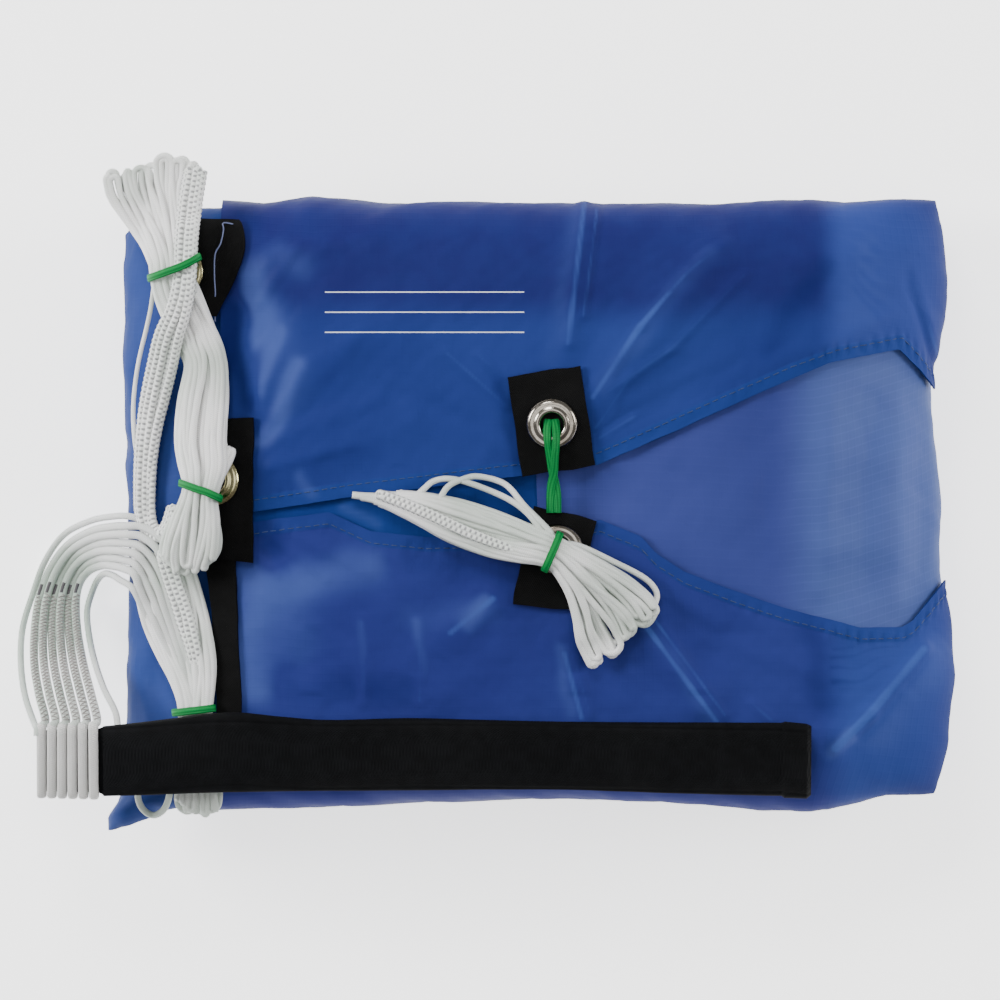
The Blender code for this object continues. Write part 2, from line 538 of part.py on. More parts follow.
def hank_point(course, at, turn, grow=0.0, rib=1.0, jut=0.0):
    """A point of a hank's skin: distance along it, angle round it and growth past it."""
    fine, walk = course
    x, y, half, thick, lift = (np.interp(at, walk, fine[:, i]) for i in range(5))
    ahead = [np.interp(at + 0.6, walk, fine[:, i]) for i in range(2)]
    back = [np.interp(at - 0.6, walk, fine[:, i]) for i in range(2)]
    run = Vector((ahead[0] - back[0], ahead[1] - back[1], 0)).normalized()
    wide = Vector((run.y, -run.x, 0))
    s = (half * rib + grow) * math.copysign(abs(math.cos(turn)) ** SECTION_POWER, math.cos(turn))
    h = thick + (thick * rib + grow) * math.copysign(abs(math.sin(turn)) ** SECTION_POWER, math.sin(turn))
    place = Vector((x, y, 0)) + wide * s + run * jut
    return lay(place.x, place.y, CLEAR + lift + h)[0]


def build_hank(name, table, count, sides, lobes, tips):
    """The stowed lines of one hank: a flattened bundle ribbed along its length, its end loops uneven."""
    course = hank_course(table)
    rings = []
    for k, at in enumerate(np.linspace(0, course[1][-1], count)):
        reach = {0: -tips[0], count - 1: tips[1]}.get(k, 0)
        ring = []
        for i in range(sides):
            turn = 2 * math.pi * i / sides
            rib = 1.0 - RIB_DEPTH * (1 - math.cos(lobes * turn))
            jut = reach * math.sin(2.1 * math.cos(turn) + 0.7) * math.cos(5.3 * math.cos(turn))
            ring.append(hank_point(course, at, turn, rib=rib, jut=jut))
        rings.append(ring)
    loft(name, rings, "line white", smooth=60)


def build_hanks():
    """All the stowed lines."""
    for name, (table, count, sides, lobes, tips) in HANKS.items():
        build_hank(name, table, count, sides, lobes, tips)


def build_bands():
    """Green elastics round the necks of the hanks."""
    for name, (hank, column, place, lean) in BANDS.items():
        course = hank_course(HANKS[hank][0])
        fine, walk = course
        nearest = int(np.argmin(np.abs(fine[:, column] - place)))
        rings = []
        for i in range(BAND_SIDES):
            turn = 2 * math.pi * i / BAND_SIDES
            slide = walk[nearest] + fine[nearest][2] * math.cos(turn) * math.tan(math.radians(lean))
            outside = BAND_CLEAR + ELASTIC_THICK
            half = ELASTIC_WIDTH / 2
            corners = ((BAND_CLEAR, -half), (BAND_CLEAR, half), (outside, half), (outside, -half))
            rings.append([hank_point(course, slide + shift, turn, grow) for grow, shift in corners])
        loft(name, rings, "elastic green", looped=True, smooth=40)


def build_closing_loop():
    """Two strands of green elastic from the upper middle eyelet down over the lower tab."""
    course = hank_course(CLOSING_LOOP)
    rings = []
    for at in np.linspace(0, course[1][-1], 12):
        ring = []
        for i in range(12):
            turn = 2 * math.pi * i / 12
            waist = 1.0 - 0.16 * (1 - math.cos(2 * turn))
            ring.append(hank_point(course, at, turn, rib=waist))
        rings.append(ring)
    loft("closing_loop", rings, "elastic green", smooth=60)


def riser_frame(x, upper, lower, least, thick, tilt):
    """Middle of the riser at x and the direction across it, resting on the cloth or at its least height."""
    lean = math.radians(tilt)
    wide = Vector((0, math.cos(lean), math.sin(lean)))
    out = Vector((0, -math.sin(lean), math.cos(lean)))
    middle = Vector((x, (upper + lower) / 2, least))
    half = (upper - lower) / 2
    if least == 0:
        for t in np.linspace(-1, 1, 9):
            place = middle + wide * half * t
            need = top_height(x, place.y, limit=1.0) - half * t * math.sin(lean)
            middle.z = max(middle.z, need + RISER_CLEAR / math.cos(lean))
    return middle + out * thick / 2, wide, out, half


def build_riser():
    """Black sleeve over folded webbing, and the webbing's bare tongue at its left end, in one body."""
    rings = []
    for x, upper, lower, least, thick, tilt in RISER:
        middle, wide, out, half = riser_frame(x, upper, lower, least, thick, tilt)
        ring = []
        for s, h in RISER_SECTION:
            ring.append(middle + wide * (half - thick * 0.5 * (1 - abs(s))) * math.copysign(1, s)
                        + out * thick / 2 * h)
        rings.append(ring)
    loft("riser", rings, "black webbing")


def riser_at(x):
    """Middle, directions and half width of the tongue at x."""
    rows = sorted(RISER)
    keys = [row[0] for row in rows]
    values = [float(np.interp(x, keys, [row[i] for row in rows])) for i in range(1, 6)]
    return riser_frame(x, *values)


def build_eyes():
    """Sewn line eyes wrapped round the tongue, side by side."""
    for k in range(EYE_COUNT):
        x = SLEEVE_LEFT - 1.6 - EYE_PITCH * (EYE_COUNT - k - 0.5)
        middle, wide, out, half = riser_at(x)
        along = (riser_at(x + 1)[0] - riser_at(x - 1)[0]).normalized()
        reach = half + CLEAR + EYE_THICK / 2
        rise = TONGUE_THICK / 2 + CLEAR + EYE_THICK / 2
        course = [middle + wide * reach * s + out * rise * h for s, h in EYE_COURSE]
        rings = []
        for i, centre in enumerate(course):
            run = course[(i + 1) % len(course)] - course[i - 1]
            away = along.cross(run).normalized()
            if away.dot(centre - middle) < 0:
                away = -away
            rings.append([centre + along * EYE_WIDTH / 2 * a + away * EYE_THICK / 2 * b
                          for a, b in EYE_SECTION])
        loft(f"line_eye_{k + 1}", rings, "line white", looped=True, smooth=60)


def line(name, route, count, width=LINE_WIDTH):
    """A free line: a round tube along the smooth curve through its route."""
    curve = bpy.data.curves.new(name, "CURVE")
    curve.dimensions = "3D"
    spline = curve.splines.new("POLY")
    points = smooth_path(route, count)
    spline.points.add(len(points) - 1)
    for slot, (x, y, z) in zip(spline.points, points, strict=True):
        slot.co = (x * MM, y * MM, z * MM, 1)
    curve.bevel_depth = width / 2 * MM
    curve.bevel_resolution = 2
    curve.use_fill_caps = True
    curve.materials.append(materials["line white"])
    collection.objects.link(bpy.data.objects.new(name, curve))


def build_lines():
    """The free lines: six from the eyes, a stray on each side of them and the open loop."""
    for k in range(EYE_COUNT):
        t = k / (EYE_COUNT - 1)
        route = [tuple(a + (b - a) * t for a, b in zip(outer, inner, strict=True))
                 for outer, inner in zip(OUTER_ROUTE, INNER_ROUTE, strict=True)]
        raised = [(x, y, z + (LINE_STAGGER * 2 if k % 2 else 0)) for x, y, z in route]
        line(f"line_{k + 1}", raised, LINE_POINTS)
    line("line_outer_stray", OUTER_STRAY, LINE_POINTS)
    line("line_inner_stray", INNER_STRAY, LINE_POINTS)
    line("line_open_loop", OPEN_LOOP, OPEN_LOOP_POINTS)


def clear_scene():
    """Removes what is in the scene."""
    for obj in list(bpy.data.objects):
        bpy.data.objects.remove(obj, do_unlink=True)


def make_materials():
    """One Principled material for each finish."""
    made = {}
    for name, (colour, roughness, metallic) in FINISHES.items():
        material = bpy.data.materials.new(name)
        material.use_nodes = True
        shader = material.node_tree.nodes["Principled BSDF"]
        shader.inputs["Base Color"].default_value = (*colour, 1)
        shader.inputs["Roughness"].default_value = roughness
        shader.inputs["Metallic"].default_value = metallic
        made[name] = material
    return made


clear_scene()
collection = bpy.data.collections.new("packed_parachute")
bpy.context.scene.collection.children.link(collection)
materials = make_materials()
build_body()
build_leaves()
build_flaps()
build_tabs()
build_strip()
build_hanks()
build_bands()
build_closing_loop()
build_riser()
build_eyes()
build_lines()
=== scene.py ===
"""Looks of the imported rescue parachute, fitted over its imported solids.

Tables are in millimetres in the solids' own frame: x runs to the riser's free end, y to the end of the
upper hank and z up from the surface. Meshes are in metres.
"""

from __future__ import annotations

import logging
import math
from dataclasses import dataclass, field
from enum import Enum

import bpy
import numpy as np
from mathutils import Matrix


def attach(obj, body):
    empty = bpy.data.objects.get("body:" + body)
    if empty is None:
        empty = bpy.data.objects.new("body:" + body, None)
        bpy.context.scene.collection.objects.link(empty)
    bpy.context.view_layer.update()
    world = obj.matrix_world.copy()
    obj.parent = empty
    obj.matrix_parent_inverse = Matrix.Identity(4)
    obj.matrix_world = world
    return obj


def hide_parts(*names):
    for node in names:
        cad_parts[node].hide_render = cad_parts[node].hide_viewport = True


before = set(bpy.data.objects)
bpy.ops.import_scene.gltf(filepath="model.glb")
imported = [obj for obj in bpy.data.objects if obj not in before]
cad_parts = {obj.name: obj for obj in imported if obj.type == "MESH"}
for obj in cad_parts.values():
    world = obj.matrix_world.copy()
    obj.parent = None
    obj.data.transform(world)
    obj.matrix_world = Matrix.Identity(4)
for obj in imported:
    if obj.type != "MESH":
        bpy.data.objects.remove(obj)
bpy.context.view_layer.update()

logging.basicConfig(level=logging.INFO, format="%(message)s")
log = logging.getLogger("packed parachute")

MM = 0.001
Rows = tuple[tuple[float, ...], ...]


class Cloth(Enum):
    """The container's layers, from the outermost in."""

    FLAP = 0
    LEAF = 1
    BODY = 2


class Fit(Enum):
    """How far up its layers an object lies on the container."""

    SIDES_LEVEL = 0.93
    WHOLE = 1.0


# Arrays and meshes


def walk_of(points: np.ndarray) -> np.ndarray:
    """Distance walked up to each point."""
    return np.concatenate(([0.0], np.cumsum(np.linalg.norm(np.diff(points, axis=0), axis=1))))


def read_along(at: np.ndarray, walk: np.ndarray, rows: np.ndarray) -> np.ndarray:
    """The rows' first three columns at distances along a walk."""
    return np.stack([np.interp(at, walk, rows[:, k]) for k in range(3)], axis=1)


def even_path(points: np.ndarray, count: int, spatial: bool = True) -> np.ndarray:
    """Points at even steps along the smooth curve through the given rows.

    Args:
        points: One row for each point, its first columns the place.
        count: How many rows come back.
        spatial: Whether the third column counts in the distance.

    Returns:
        The rows with every column carried along.
    """
    knots = np.asarray(points, float)
    knots = np.vstack([2 * knots[0] - knots[1], knots, 2 * knots[-1] - knots[-2]])
    t = np.linspace(0, 1, 16, endpoint=False)[:, None]
    fine = []
    for a, b, c, d in zip(knots, knots[1:], knots[2:], knots[3:]):
        fine.append(0.5 * (2 * b + (c - a) * t + (2 * a - 5 * b + 4 * c - d) * t**2
                           + (3 * b - a - 3 * c + d) * t**3))
    dense = np.vstack(fine + [knots[-2][None]])
    steps = np.linalg.norm(np.diff(dense[:, :3 if spatial else 2], axis=0), axis=1)
    walk = np.concatenate(([0.0], np.cumsum(steps)))
    at = np.linspace(0, walk[-1], count)
    return np.stack([np.interp(at, walk, dense[:, i]) for i in range(dense.shape[1])], axis=1)


def length_of(points: np.ndarray) -> float:
    """Length of a row of points in their own unit."""
    return float(np.linalg.norm(np.diff(points, axis=0), axis=1).sum())


def unit(vectors: np.ndarray) -> np.ndarray:
    """The vectors at length one."""
    return vectors / np.maximum(np.linalg.norm(vectors, axis=-1, keepdims=True), 1e-9)


class Skin:
    """Rings of tubes and bands, gathered into one mesh with a map along each of them."""

    def __init__(self) -> None:
        """Starts empty."""
        self.verts: list[np.ndarray] = []
        self.faces: list[tuple[int, ...]] = []
        self.places: list[tuple[float, float]] = []
        self.count = 0

    def tube(self, path: np.ndarray, wide: float | np.ndarray, thick: float | np.ndarray, out: np.ndarray,
             sides: int = 8, closed: bool = False, power: float = 1.0) -> None:
        """Adds an oval tube along a path.

        Args:
            path: Its centreline in millimetres.
            wide: Its width, one value or one a point.
            thick: Its thickness, one value or one a point.
            out: The direction of its thickness, one or one a point.
            sides: Points round it.
            closed: Whether its end joins its start.
            power: Below 1 its section is squarer.
        """
        number = len(path)
        if closed:
            run = unit(np.roll(path, -1, axis=0) - np.roll(path, 1, axis=0))
        else:
            run = unit(np.gradient(path, axis=0))
        out = np.broadcast_to(np.asarray(out, float), path.shape)
        side = unit(np.cross(run, out))
        up = np.cross(side, run)
        turn = np.linspace(0, 2 * np.pi, sides, endpoint=False)
        c = np.sign(np.cos(turn)) * np.abs(np.cos(turn)) ** power
        s = np.sign(np.sin(turn)) * np.abs(np.sin(turn)) ** power
        half_w = np.broadcast_to(np.asarray(wide, float) / 2, (number,))[:, None, None]
        half_t = np.broadcast_to(np.asarray(thick, float) / 2, (number,))[:, None, None]
        rings = (path[:, None, :] + side[:, None, :] * half_w * c[None, :, None]
                 + up[:, None, :] * half_t * s[None, :, None])
        walk = walk_of(path) / 10
        start = self.count
        self.verts.append(rings.reshape(-1, 3))
        self.count += number * sides
        last = number if closed else number - 1
        for i in range(last):
            j = (i + 1) % number
            ahead = walk[i] + (walk[1] if j == 0 else walk[j] - walk[i])
            for k in range(sides):
                m = (k + 1) % sides
                self.faces.append((start + i * sides + k, start + i * sides + m,
                                   start + j * sides + m, start + j * sides + k))
                u0, u1 = k / sides, (k + 1) / sides
                self.places += [(u0, walk[i]), (u1, walk[i]), (u1, ahead), (u0, ahead)]
        if not closed:
            for end, order in ((0, -1), (number - 1, 1)):
                ring = [start + end * sides + k for k in range(sides)][::order]
                self.faces.append(tuple(ring))
                self.places += [(k / sides, walk[end]) for k in range(sides)][::order]

    def piece(self, name: str, smooth: float = 60.0) -> bpy.types.Object:
        """The gathered mesh as an object in metres, its faces outwards.

        Args:
            name: The piece's name.
            smooth: Angle up to which edges are shaded smooth, in degrees.

        Returns:
            The finished piece.
        """
        mesh = bpy.data.meshes.new(name)
        mesh.from_pydata((np.vstack(self.verts) * MM).tolist(), [], self.faces)
        layer = mesh.uv_layers.new(name="Along")
        layer.data.foreach_set("uv", np.asarray(self.places, np.float32).ravel())
        obj = bpy.data.objects.new(name, mesh)
        bpy.context.scene.collection.objects.link(obj)
        outward(obj)
        smooth_shade(obj, smooth)
        return obj


def only(obj: bpy.types.Object) -> None:
    """Makes the object the only one selected, and active."""
    bpy.ops.object.select_all(action="DESELECT")
    obj.select_set(True)
    bpy.context.view_layer.objects.active = obj


def outward(obj: bpy.types.Object) -> None:
    """Turns every face of the object outwards."""
    only(obj)
    bpy.ops.object.mode_set(mode="EDIT")
    bpy.ops.mesh.select_all(action="SELECT")
    bpy.ops.mesh.normals_make_consistent(inside=False)
    bpy.ops.object.mode_set(mode="OBJECT")


def smooth_shade(obj: bpy.types.Object, angle: float) -> None:
    """Shades the object smooth up to an angle in degrees."""
    only(obj)
    bpy.ops.object.shade_smooth_by_angle(angle=math.radians(angle))


def apply_all(obj: bpy.types.Object) -> None:
    """Applies the object's modifiers."""
    only(obj)
    for name in [modifier.name for modifier in obj.modifiers]:
        bpy.ops.object.modifier_apply(modifier=name)


def woven(name: str, grid: np.ndarray, thick: float, flat_map: np.ndarray,
          edge_map: np.ndarray | None = None,
          fold_map: np.ndarray | None = None, smooth: float = 50.0) -> bpy.types.Object:
    """A cloth with its inner face on a grid of points.

    Args:
        name: The piece's name.
        grid: Rows by columns by three, in millimetres.
        thick: The cloth's thickness outside the grid.
        flat_map: Rows by columns by two, each point's place in the flat cloth, in centimetres.
        edge_map: The same for the distance from the hemmed edge.
        fold_map: The same for the painted highlight along the ridges of creases and the painted sheen and
            shade.
        smooth: Shading angle in degrees.

    Returns:
        The piece, its wall applied.
    """
    rows, columns = grid.shape[:2]
    bpy.ops.object.select_all(action="DESELECT")
    bpy.ops.mesh.primitive_grid_add(x_subdivisions=columns - 1, y_subdivisions=rows - 1, size=1)
    obj = bpy.context.active_object
    obj.name = name
    obj.data.name = name
    mesh = obj.data
    mesh.vertices.foreach_set("co", (grid.reshape(-1, 3) * MM).astype(np.float32).ravel())
    corners = np.empty(len(mesh.loops), np.int32)
    mesh.loops.foreach_get("vertex_index", corners)
    while mesh.uv_layers:
        mesh.uv_layers.remove(mesh.uv_layers[0])
    for label, table in (("Flat", flat_map), ("Edge", edge_map), ("Fold", fold_map)):
        if table is not None:
            layer = mesh.uv_layers.new(name=label)
            layer.data.foreach_set("uv", table.reshape(-1, 2)[corners].astype(np.float32).ravel())
    mesh.update()
    upward = np.empty(len(mesh.polygons) * 3, np.float32)
    mesh.polygons.foreach_get("normal", upward)
    if upward.reshape(-1, 3)[:, 2].sum() < 0:
        only(obj)
        bpy.ops.object.mode_set(mode="EDIT")
        bpy.ops.mesh.select_all(action="SELECT")
        bpy.ops.mesh.flip_normals()
        bpy.ops.object.mode_set(mode="OBJECT")
    wall = obj.modifiers.new("wall", "SOLIDIFY")
    wall.thickness = thick * MM
    wall.offset = 1
    apply_all(obj)
    smooth_shade(obj, smooth)
    return obj


def flat_places(grid: np.ndarray) -> np.ndarray:
    """Each point's place in the flat cloth, in centimetres, from the steps of its grid."""
    across = np.linalg.norm(np.diff(grid, axis=1), axis=2)
    up = np.linalg.norm(np.diff(grid, axis=0), axis=2)
    u = np.concatenate((np.zeros((grid.shape[0], 1)), np.cumsum(across, axis=1)), axis=1)
    v = np.concatenate((np.zeros((1, grid.shape[1])), np.cumsum(up, axis=0)), axis=0)
    return np.stack((u, v), axis=2) / 10


# Form of the container


@dataclass(frozen=True)
class Container:
    """The filled container's form, as in its solids, with the cloths' finer folds."""

    rim: float = 28.0
    crown: float = 50.0
    flatten: float = 1.35
    end_power: float = 2.6
    side_power: float = 5.0
    length: float = 300.0
    width: float = 216.0
    steepest: float = 0.8
    under_share: float = 0.5
    top_edge: Rows = (
        (-150, 99), (-146, 104), (-134, 107), (-119, 108.4), (-98, 107.3), (-80, 109.8), (-54, 107.3),
        (-19, 107.6), (31, 106.9), (69, 106.9), (86, 108), (102, 108.4), (116, 107.3), (135, 108.7),
        (150, 108.4))
    bottom_edge: Rows = (
        (-150, -122.5), (-141, -118.8), (-133, -115.6), (-122, -113), (-115, -112.3), (-73, -110.9),
        (-30, -109.1), (15, -107.6), (65, -109.8), (87, -112.3), (105, -112.3), (120, -109.8),
        (132, -107.2), (150, -106))
    left_edge: Rows = (
        (-108, -156), (-103, -156.4), (-98, -152.8), (-92, -150), (-80, -149.5), (-40, -148.4),
        (10, -148.6), (24, -149.6), (60, -149.9), (98, -150.1), (108, -149.5))
    right_edge: Rows = (
        (-108, 145.5), (-90, 150.1), (-65, 152.6), (-43, 150.8), (-28, 148.7), (-6, 149), (22, 147.2),
        (35, 145.4), (49, 145.8), (63, 148.3), (80, 150.1), (98, 148.3), (108, 146))
    # Folds that the solids have: layer, from x, y to x, y, rise and half width
    ridges: tuple = (
        (Cloth.FLAP, 20.9, 36.7, 67.3, 90.7, 2.8, 8.0),
        (Cloth.FLAP, 18.0, 106.0, 12.2, 56.2, 1.6, 7.0),
        (Cloth.FLAP, 39.6, -44.6, 60.0, -72.0, 2.2, 8.0),
        (Cloth.FLAP, 10.8, -50.0, 16.9, -77.8, 1.6, 7.0),
        (Cloth.FLAP, 105.0, -92.0, 141.0, -56.0, 3.0, 8.0),
        (Cloth.FLAP, -29.9, -47.5, -14.8, -35.3, 1.4, 7.0),
        (Cloth.FLAP, -96.0, 40.0, -52.0, 64.0, 2.2, 10.0),
        (Cloth.FLAP, -92.0, 14.0, -46.0, 28.0, 1.8, 9.0),
        (Cloth.FLAP, -92.0, 84.0, -60.0, 96.0, 1.6, 9.0),
        (Cloth.FLAP, -92.0, -30.0, -58.0, -62.0, 1.6, 10.0),
        (Cloth.LEAF, 104.0, 16.0, 102.0, -16.0, 1.6, 10.0),
        (Cloth.LEAF, 126.0, 12.0, 124.0, -14.0, 1.6, 9.0),
    )
    troughs: tuple = (
        (-109, 66, -108, 40, 3.2, 14), (-120, -34, -134, -66, 3, 12), (2, 2, 12, 1, 4, 24),
        (130, 52, 140, 44, 1.2, 14), (136, -40, 148, -32, 1.2, 14), (36, 30, 80, 62, 1.8, 12),
        (70, -50, 96, -78, 1.8, 12))
    # Finer creases of one cloth: from x, y to x, y, rise and half width
    flap_creases: Rows = (
        (20.9, 36.7, 38, 62, 1, 2.2), (38, 62, 48.4, 74.1, 0.9, 1.8), (48.4, 74.1, 54.4, 80.8, 0.65, 1.8),
        (54.4, 80.8, 59.9, 85.6, 0.55, 1.8), (59.9, 85.6, 67.3, 90.4, 0.45, 2),
        (18, 106.2, 12.2, 56.2, 0.9, 2.2), (24, 104, 19, 70, -0.5, 2.6), (39.6, -44.6, 65, -79, 1.1, 2),
        (10.8, -54.7, 16.9, -77.8, 0.9, 2.2), (78, -73, 85, -79, 0.6, 1.8),
        (108, -89, 120, -76.7, 1.4, 2.4), (120, -76.7, 139.7, -53.6, 1.3, 2.6),
        (-61.6, -43.6, -61, -71.6, 0.5, 2.4), (-41.4, -43.6, -41, -71.6, 0.5, 2.4),
        (-29.9, -47.5, -14.8, -35.3, 0.9, 2.6), (-50, 38, -8, 24, -0.6, 4), (-92, 22, -56, 36, 0.8, 3.4),
        (-92, 30, -66, 56, 0.8, 4.2), (-94, 44, -74, 76, 0.7, 4.4), (-98, 86, -70, 92, 0.6, 3),
        (-92, -10, -60, -24, 0.8, 3.2), (-94, -24, -64, -44, 0.7, 3.6), (-96, -44, -80, -74, 0.6, 4),
        (22, 20, 60, 34, 0.7, 3), (24, 30, 72, 54, 0.5, 3.4), (-10, 20, -48, 52, 0.5, 4),
        (84, 48, 130, 66, 0.8, 5), (92, 84, 136, 92, 0.6, 5), (30, -22, 66, -44, 0.7, 3.2),
        (60, -50, 110, -64, 0.6, 4), (-8, -34, -44, -60, 0.5, 4), (70, 96, 110, 60, -0.5, 5),
        (24.5, 37.8, 48.6, 54, 0.6, 1.8), (48.6, 54, 75.2, 80.6, 0.55, 2), (22.4, 104, 17.4, 66, 0.7, 1.6),
        (-31.3, 52.6, -10, 33.8, 0.6, 2), (-20, 52, -9.4, 42, 0.5, 1.6), (134, 80, 144, 46, -1, 1.8),
        (137, 78, 147, 46, 0.6, 2), (23, 22, 36, 30, 0.6, 1.6), (22, 26, 34, 44, 0.6, 1.7),
        (43, -43, 68, -77, 0.7, 1.6), (13.6, -55, 19.6, -76, 0.5, 1.6), (-96, -12, -74, -28, 0.6, 2),
        (-96, -16, -80, -44, 0.6, 2.2), (-94, 12, -64, 20, 0.5, 2.2), (-96, 24, -80, 50, 0.6, 2.2),
        (-98, 70, -84, 92, 0.5, 2), (16, -30, 30, -46, 0.5, 1.8))
    leaf_creases: Rows = (
        (106, 36, 104, -30, 0.9, 4.6), (120, 36, 118, -34, -0.8, 4), (130, 40, 129, -36, 0.9, 4.2),
        (140, 30, 139, -30, -0.6, 3.6), (60, 18, 62, -18, 0.5, 6), (84, 24, 82, -24, -0.4, 6),
        (-146, 60, -142, 20, 0.7, 3.4), (-150, 26, -144, 15, -1.4, 1.8), (-144, -60, -134, -84, 0.9, 3.2),
        (-147, -119, -138, -113, 0.8, 1.6), (-148, 84, -140, 70, 0.6, 3.4), (-118, 70, -120, 40, -0.6, 4))

    # Painted sheen (share above 0) and painted shade (share below 0) in broad soft parts of one cloth, such as
    # the shadow beside the upper left tab: from x, y to x, y, share, half width
    flap_sheen_and_shade: Rows = (
        (-101, 80, -99, 60, 0.9, 8), (-95, 93, -84, 84, 0.45, 6),
        (-84, 47, -97, 20, 0.7, 3.4), (-90, 61, -99, 34, 0.4, 2.2), (-97, 58, -99, 40, 0.45, 3),
        (-112, 78, -110, 50, -0.9, 5), (-107, 66, -103, 36, -0.7, 4.6),
        (-101.6, 33, -96.4, 58, -0.42, 1.9), (-104, 103, -98, 96, -0.6, 6),
        (-12, 43, -6, 14, -0.5, 4), (17, 38, 24, 22, -0.4, 4),
        (103, 83, 84, 54, -0.6, 6), (118, 90, 118, 66, 0.4, 10),
        (24, 40, 62, 88, 0.34, 4.6), (15, 104, 7, 52, 0.3, 5),
        (30, 30, 90, 60, 0.16, 8), (-84, 8, -79, 3, 0.5, 3.6),
        (-102, -30, -101, -68, 0.75, 9), (-92, -30, -58, -24, 0.7, 8),
        (-88, -40, -84, -54, 0.4, 11), (-90, 60, -86, 38, 0.3, 12), (-44, -42, -14, -40, 0.3, 7),
        (-17, -36, -25, -46, 0.5, 3), (9, -54, 13, -76, 0.45, 3),
        (38, -42, 64, -78, 0.34, 4), (-61.6, -44, -61, -72, 0.35, 2),
        (-41.4, -44, -41, -72, 0.35, 2), (107, -90, 113, -85, 0.9, 3.4),
        (124, -84, 146, -54, 0.4, 9), (-98, -8, -92, -20, -0.8, 6),
        (-86, -66, -46, -68, -0.5, 7), (-44, -20, -10, -26, -0.4, 8),
        (98, -48, 104, -72, -0.5, 7), (117, -84, 139, -58, -0.6, 2),
        # Painted shade in fine wrinkles towards the right rim
        (107, 102, 138, 87, -0.32, 0.9), (107, 98, 137, 81, -0.3, 0.9),
        (108, 93, 136, 74, -0.34, 1), (110, 88, 134, 67, -0.28, 0.9),
        (112, 83, 131, 61, -0.32, 1), (114, 77, 128, 58, -0.28, 0.9),
        (107, -53, 129, -49, -0.3, 0.9), (107, -57, 130, -52.6, -0.34, 0.9),
        (107, -61.4, 129, -57.4, -0.28, 0.9), (108, -66, 126, -62, -0.32, 1),
    )
    # Painted sheen and painted shade on the leaves, as above
    leaf_sheen_and_shade: Rows = (
        (-68, -2, -58, -8, 0.45, 3), (104, 22, 104, -26, 0.3, 7), (118, 34, 117, 4, -0.14, 3),
        (134, 30, 133, -24, 0.3, 6), (-143, 86, -141, 60, 0.25, 6), (-138, -70, -134, -96, -0.2, 6))

    @staticmethod
    def rounded(angle: np.ndarray, power: float) -> tuple[np.ndarray, np.ndarray]:
        """Across and up parts of the rounded square of this power, at angles from its crown."""
        s, c = np.sin(np.radians(angle)), np.cos(np.radians(angle))
        reach = (np.abs(s) ** power + np.abs(c) ** power) ** (-1.0 / power)
        return s * reach, c * reach

    @staticmethod
    def rise_of(share: np.ndarray, power: float) -> np.ndarray:
        """Height share of the rounded square at shares of its half width."""
        return np.maximum(0.0, 1.0 - np.minimum(1.0, np.abs(share)) ** power) ** (1.0 / power)

    @staticmethod
    def felt(x: np.ndarray, y: np.ndarray, row: tuple[float, ...]) -> np.ndarray:
        """How much of a fold (from x, y to x, y, size, half width) is felt at places."""
        x0, y0, x1, y1, size, half = row
        dx, dy = x1 - x0, y1 - y0
        t = np.clip(((x - x0) * dx + (y - y0) * dy) / (dx * dx + dy * dy), 0, 1)
        away = np.hypot(x - x0 - t * dx, y - y0 - t * dy)
        return size * np.exp(-((away / half) ** 2))

    def relief(self, x: np.ndarray, y: np.ndarray, layer: Cloth) -> np.ndarray:
        """Height of the solids' folds at places on a layer.

        Args:
            x: Places across.
            y: Places up.
            layer: Which cloth of the container.

        Returns:
            Heights.
        """
        total = np.zeros(np.shape(x))
        for own, *row in self.ridges:
            if layer is Cloth.FLAP or (layer is Cloth.LEAF and own is Cloth.LEAF):
                total = total + self.felt(x, y, tuple(row))
        for row in self.troughs:
            total = total - (1 + self.under_share * layer.value) * self.felt(x, y, row)
        return total

    def edges(self, p: np.ndarray, q: np.ndarray, depth: float) -> tuple[np.ndarray, ...]:
        """Left, right, bottom and top edge at shares across and up, drawn in by a depth.

        Args:
            p: Shares of the half length, from -1 to 1.
            q: Shares of the half width, from -1 to 1.
            depth: How far the layer lies under the outermost cloth.

        Returns:
            The four edges.
        """
        def read(table: Rows, place: np.ndarray) -> np.ndarray:
            """The table's second column at places along its first."""
            return np.interp(place, [row[0] for row in table], [row[1] for row in table])

        return (read(self.left_edge, q * self.width / 2) + depth,
                read(self.right_edge, q * self.width / 2) - depth,
                read(self.bottom_edge, p * self.length / 2) + depth,
                read(self.top_edge, p * self.length / 2) - depth)

    def height(self, x: np.ndarray, y: np.ndarray, up: np.ndarray, depth: float, layer: Cloth) -> np.ndarray:
        """Height of a layer where its rounded shares multiply to up."""
        low = np.maximum(0.0, self.rim * (1.0 + self.flatten * np.minimum(up, 0)))
        high = self.rim + (self.crown - depth) * up + self.relief(x, y, layer) * np.minimum(1.0, 2.0 * up)
        return np.where(up <= 0, low, high)

    def points(self, across: np.ndarray, upward: np.ndarray, depth: float, layer: Cloth) -> np.ndarray:
        """Points of a layer at angles from the crown; past 90 degrees they turn under the rim.

        Args:
            across: Angles across, in degrees.
            upward: Angles up, in degrees.
            depth: How far the layer lies under the outermost cloth.
            layer: Which cloth of the container.

        Returns:
            The points.
        """
        p, rise_p = self.rounded(across, self.end_power)
        q, rise_q = self.rounded(upward, self.side_power)
        left, right, bottom, top = self.edges(p, q, depth)
        x = left + (right - left) * (p + 1) / 2
        y = bottom + (top - bottom) * (q + 1) / 2
        return np.stack(np.broadcast_arrays(x, y, self.height(x, y, rise_p * rise_q, depth, layer)), axis=-1)

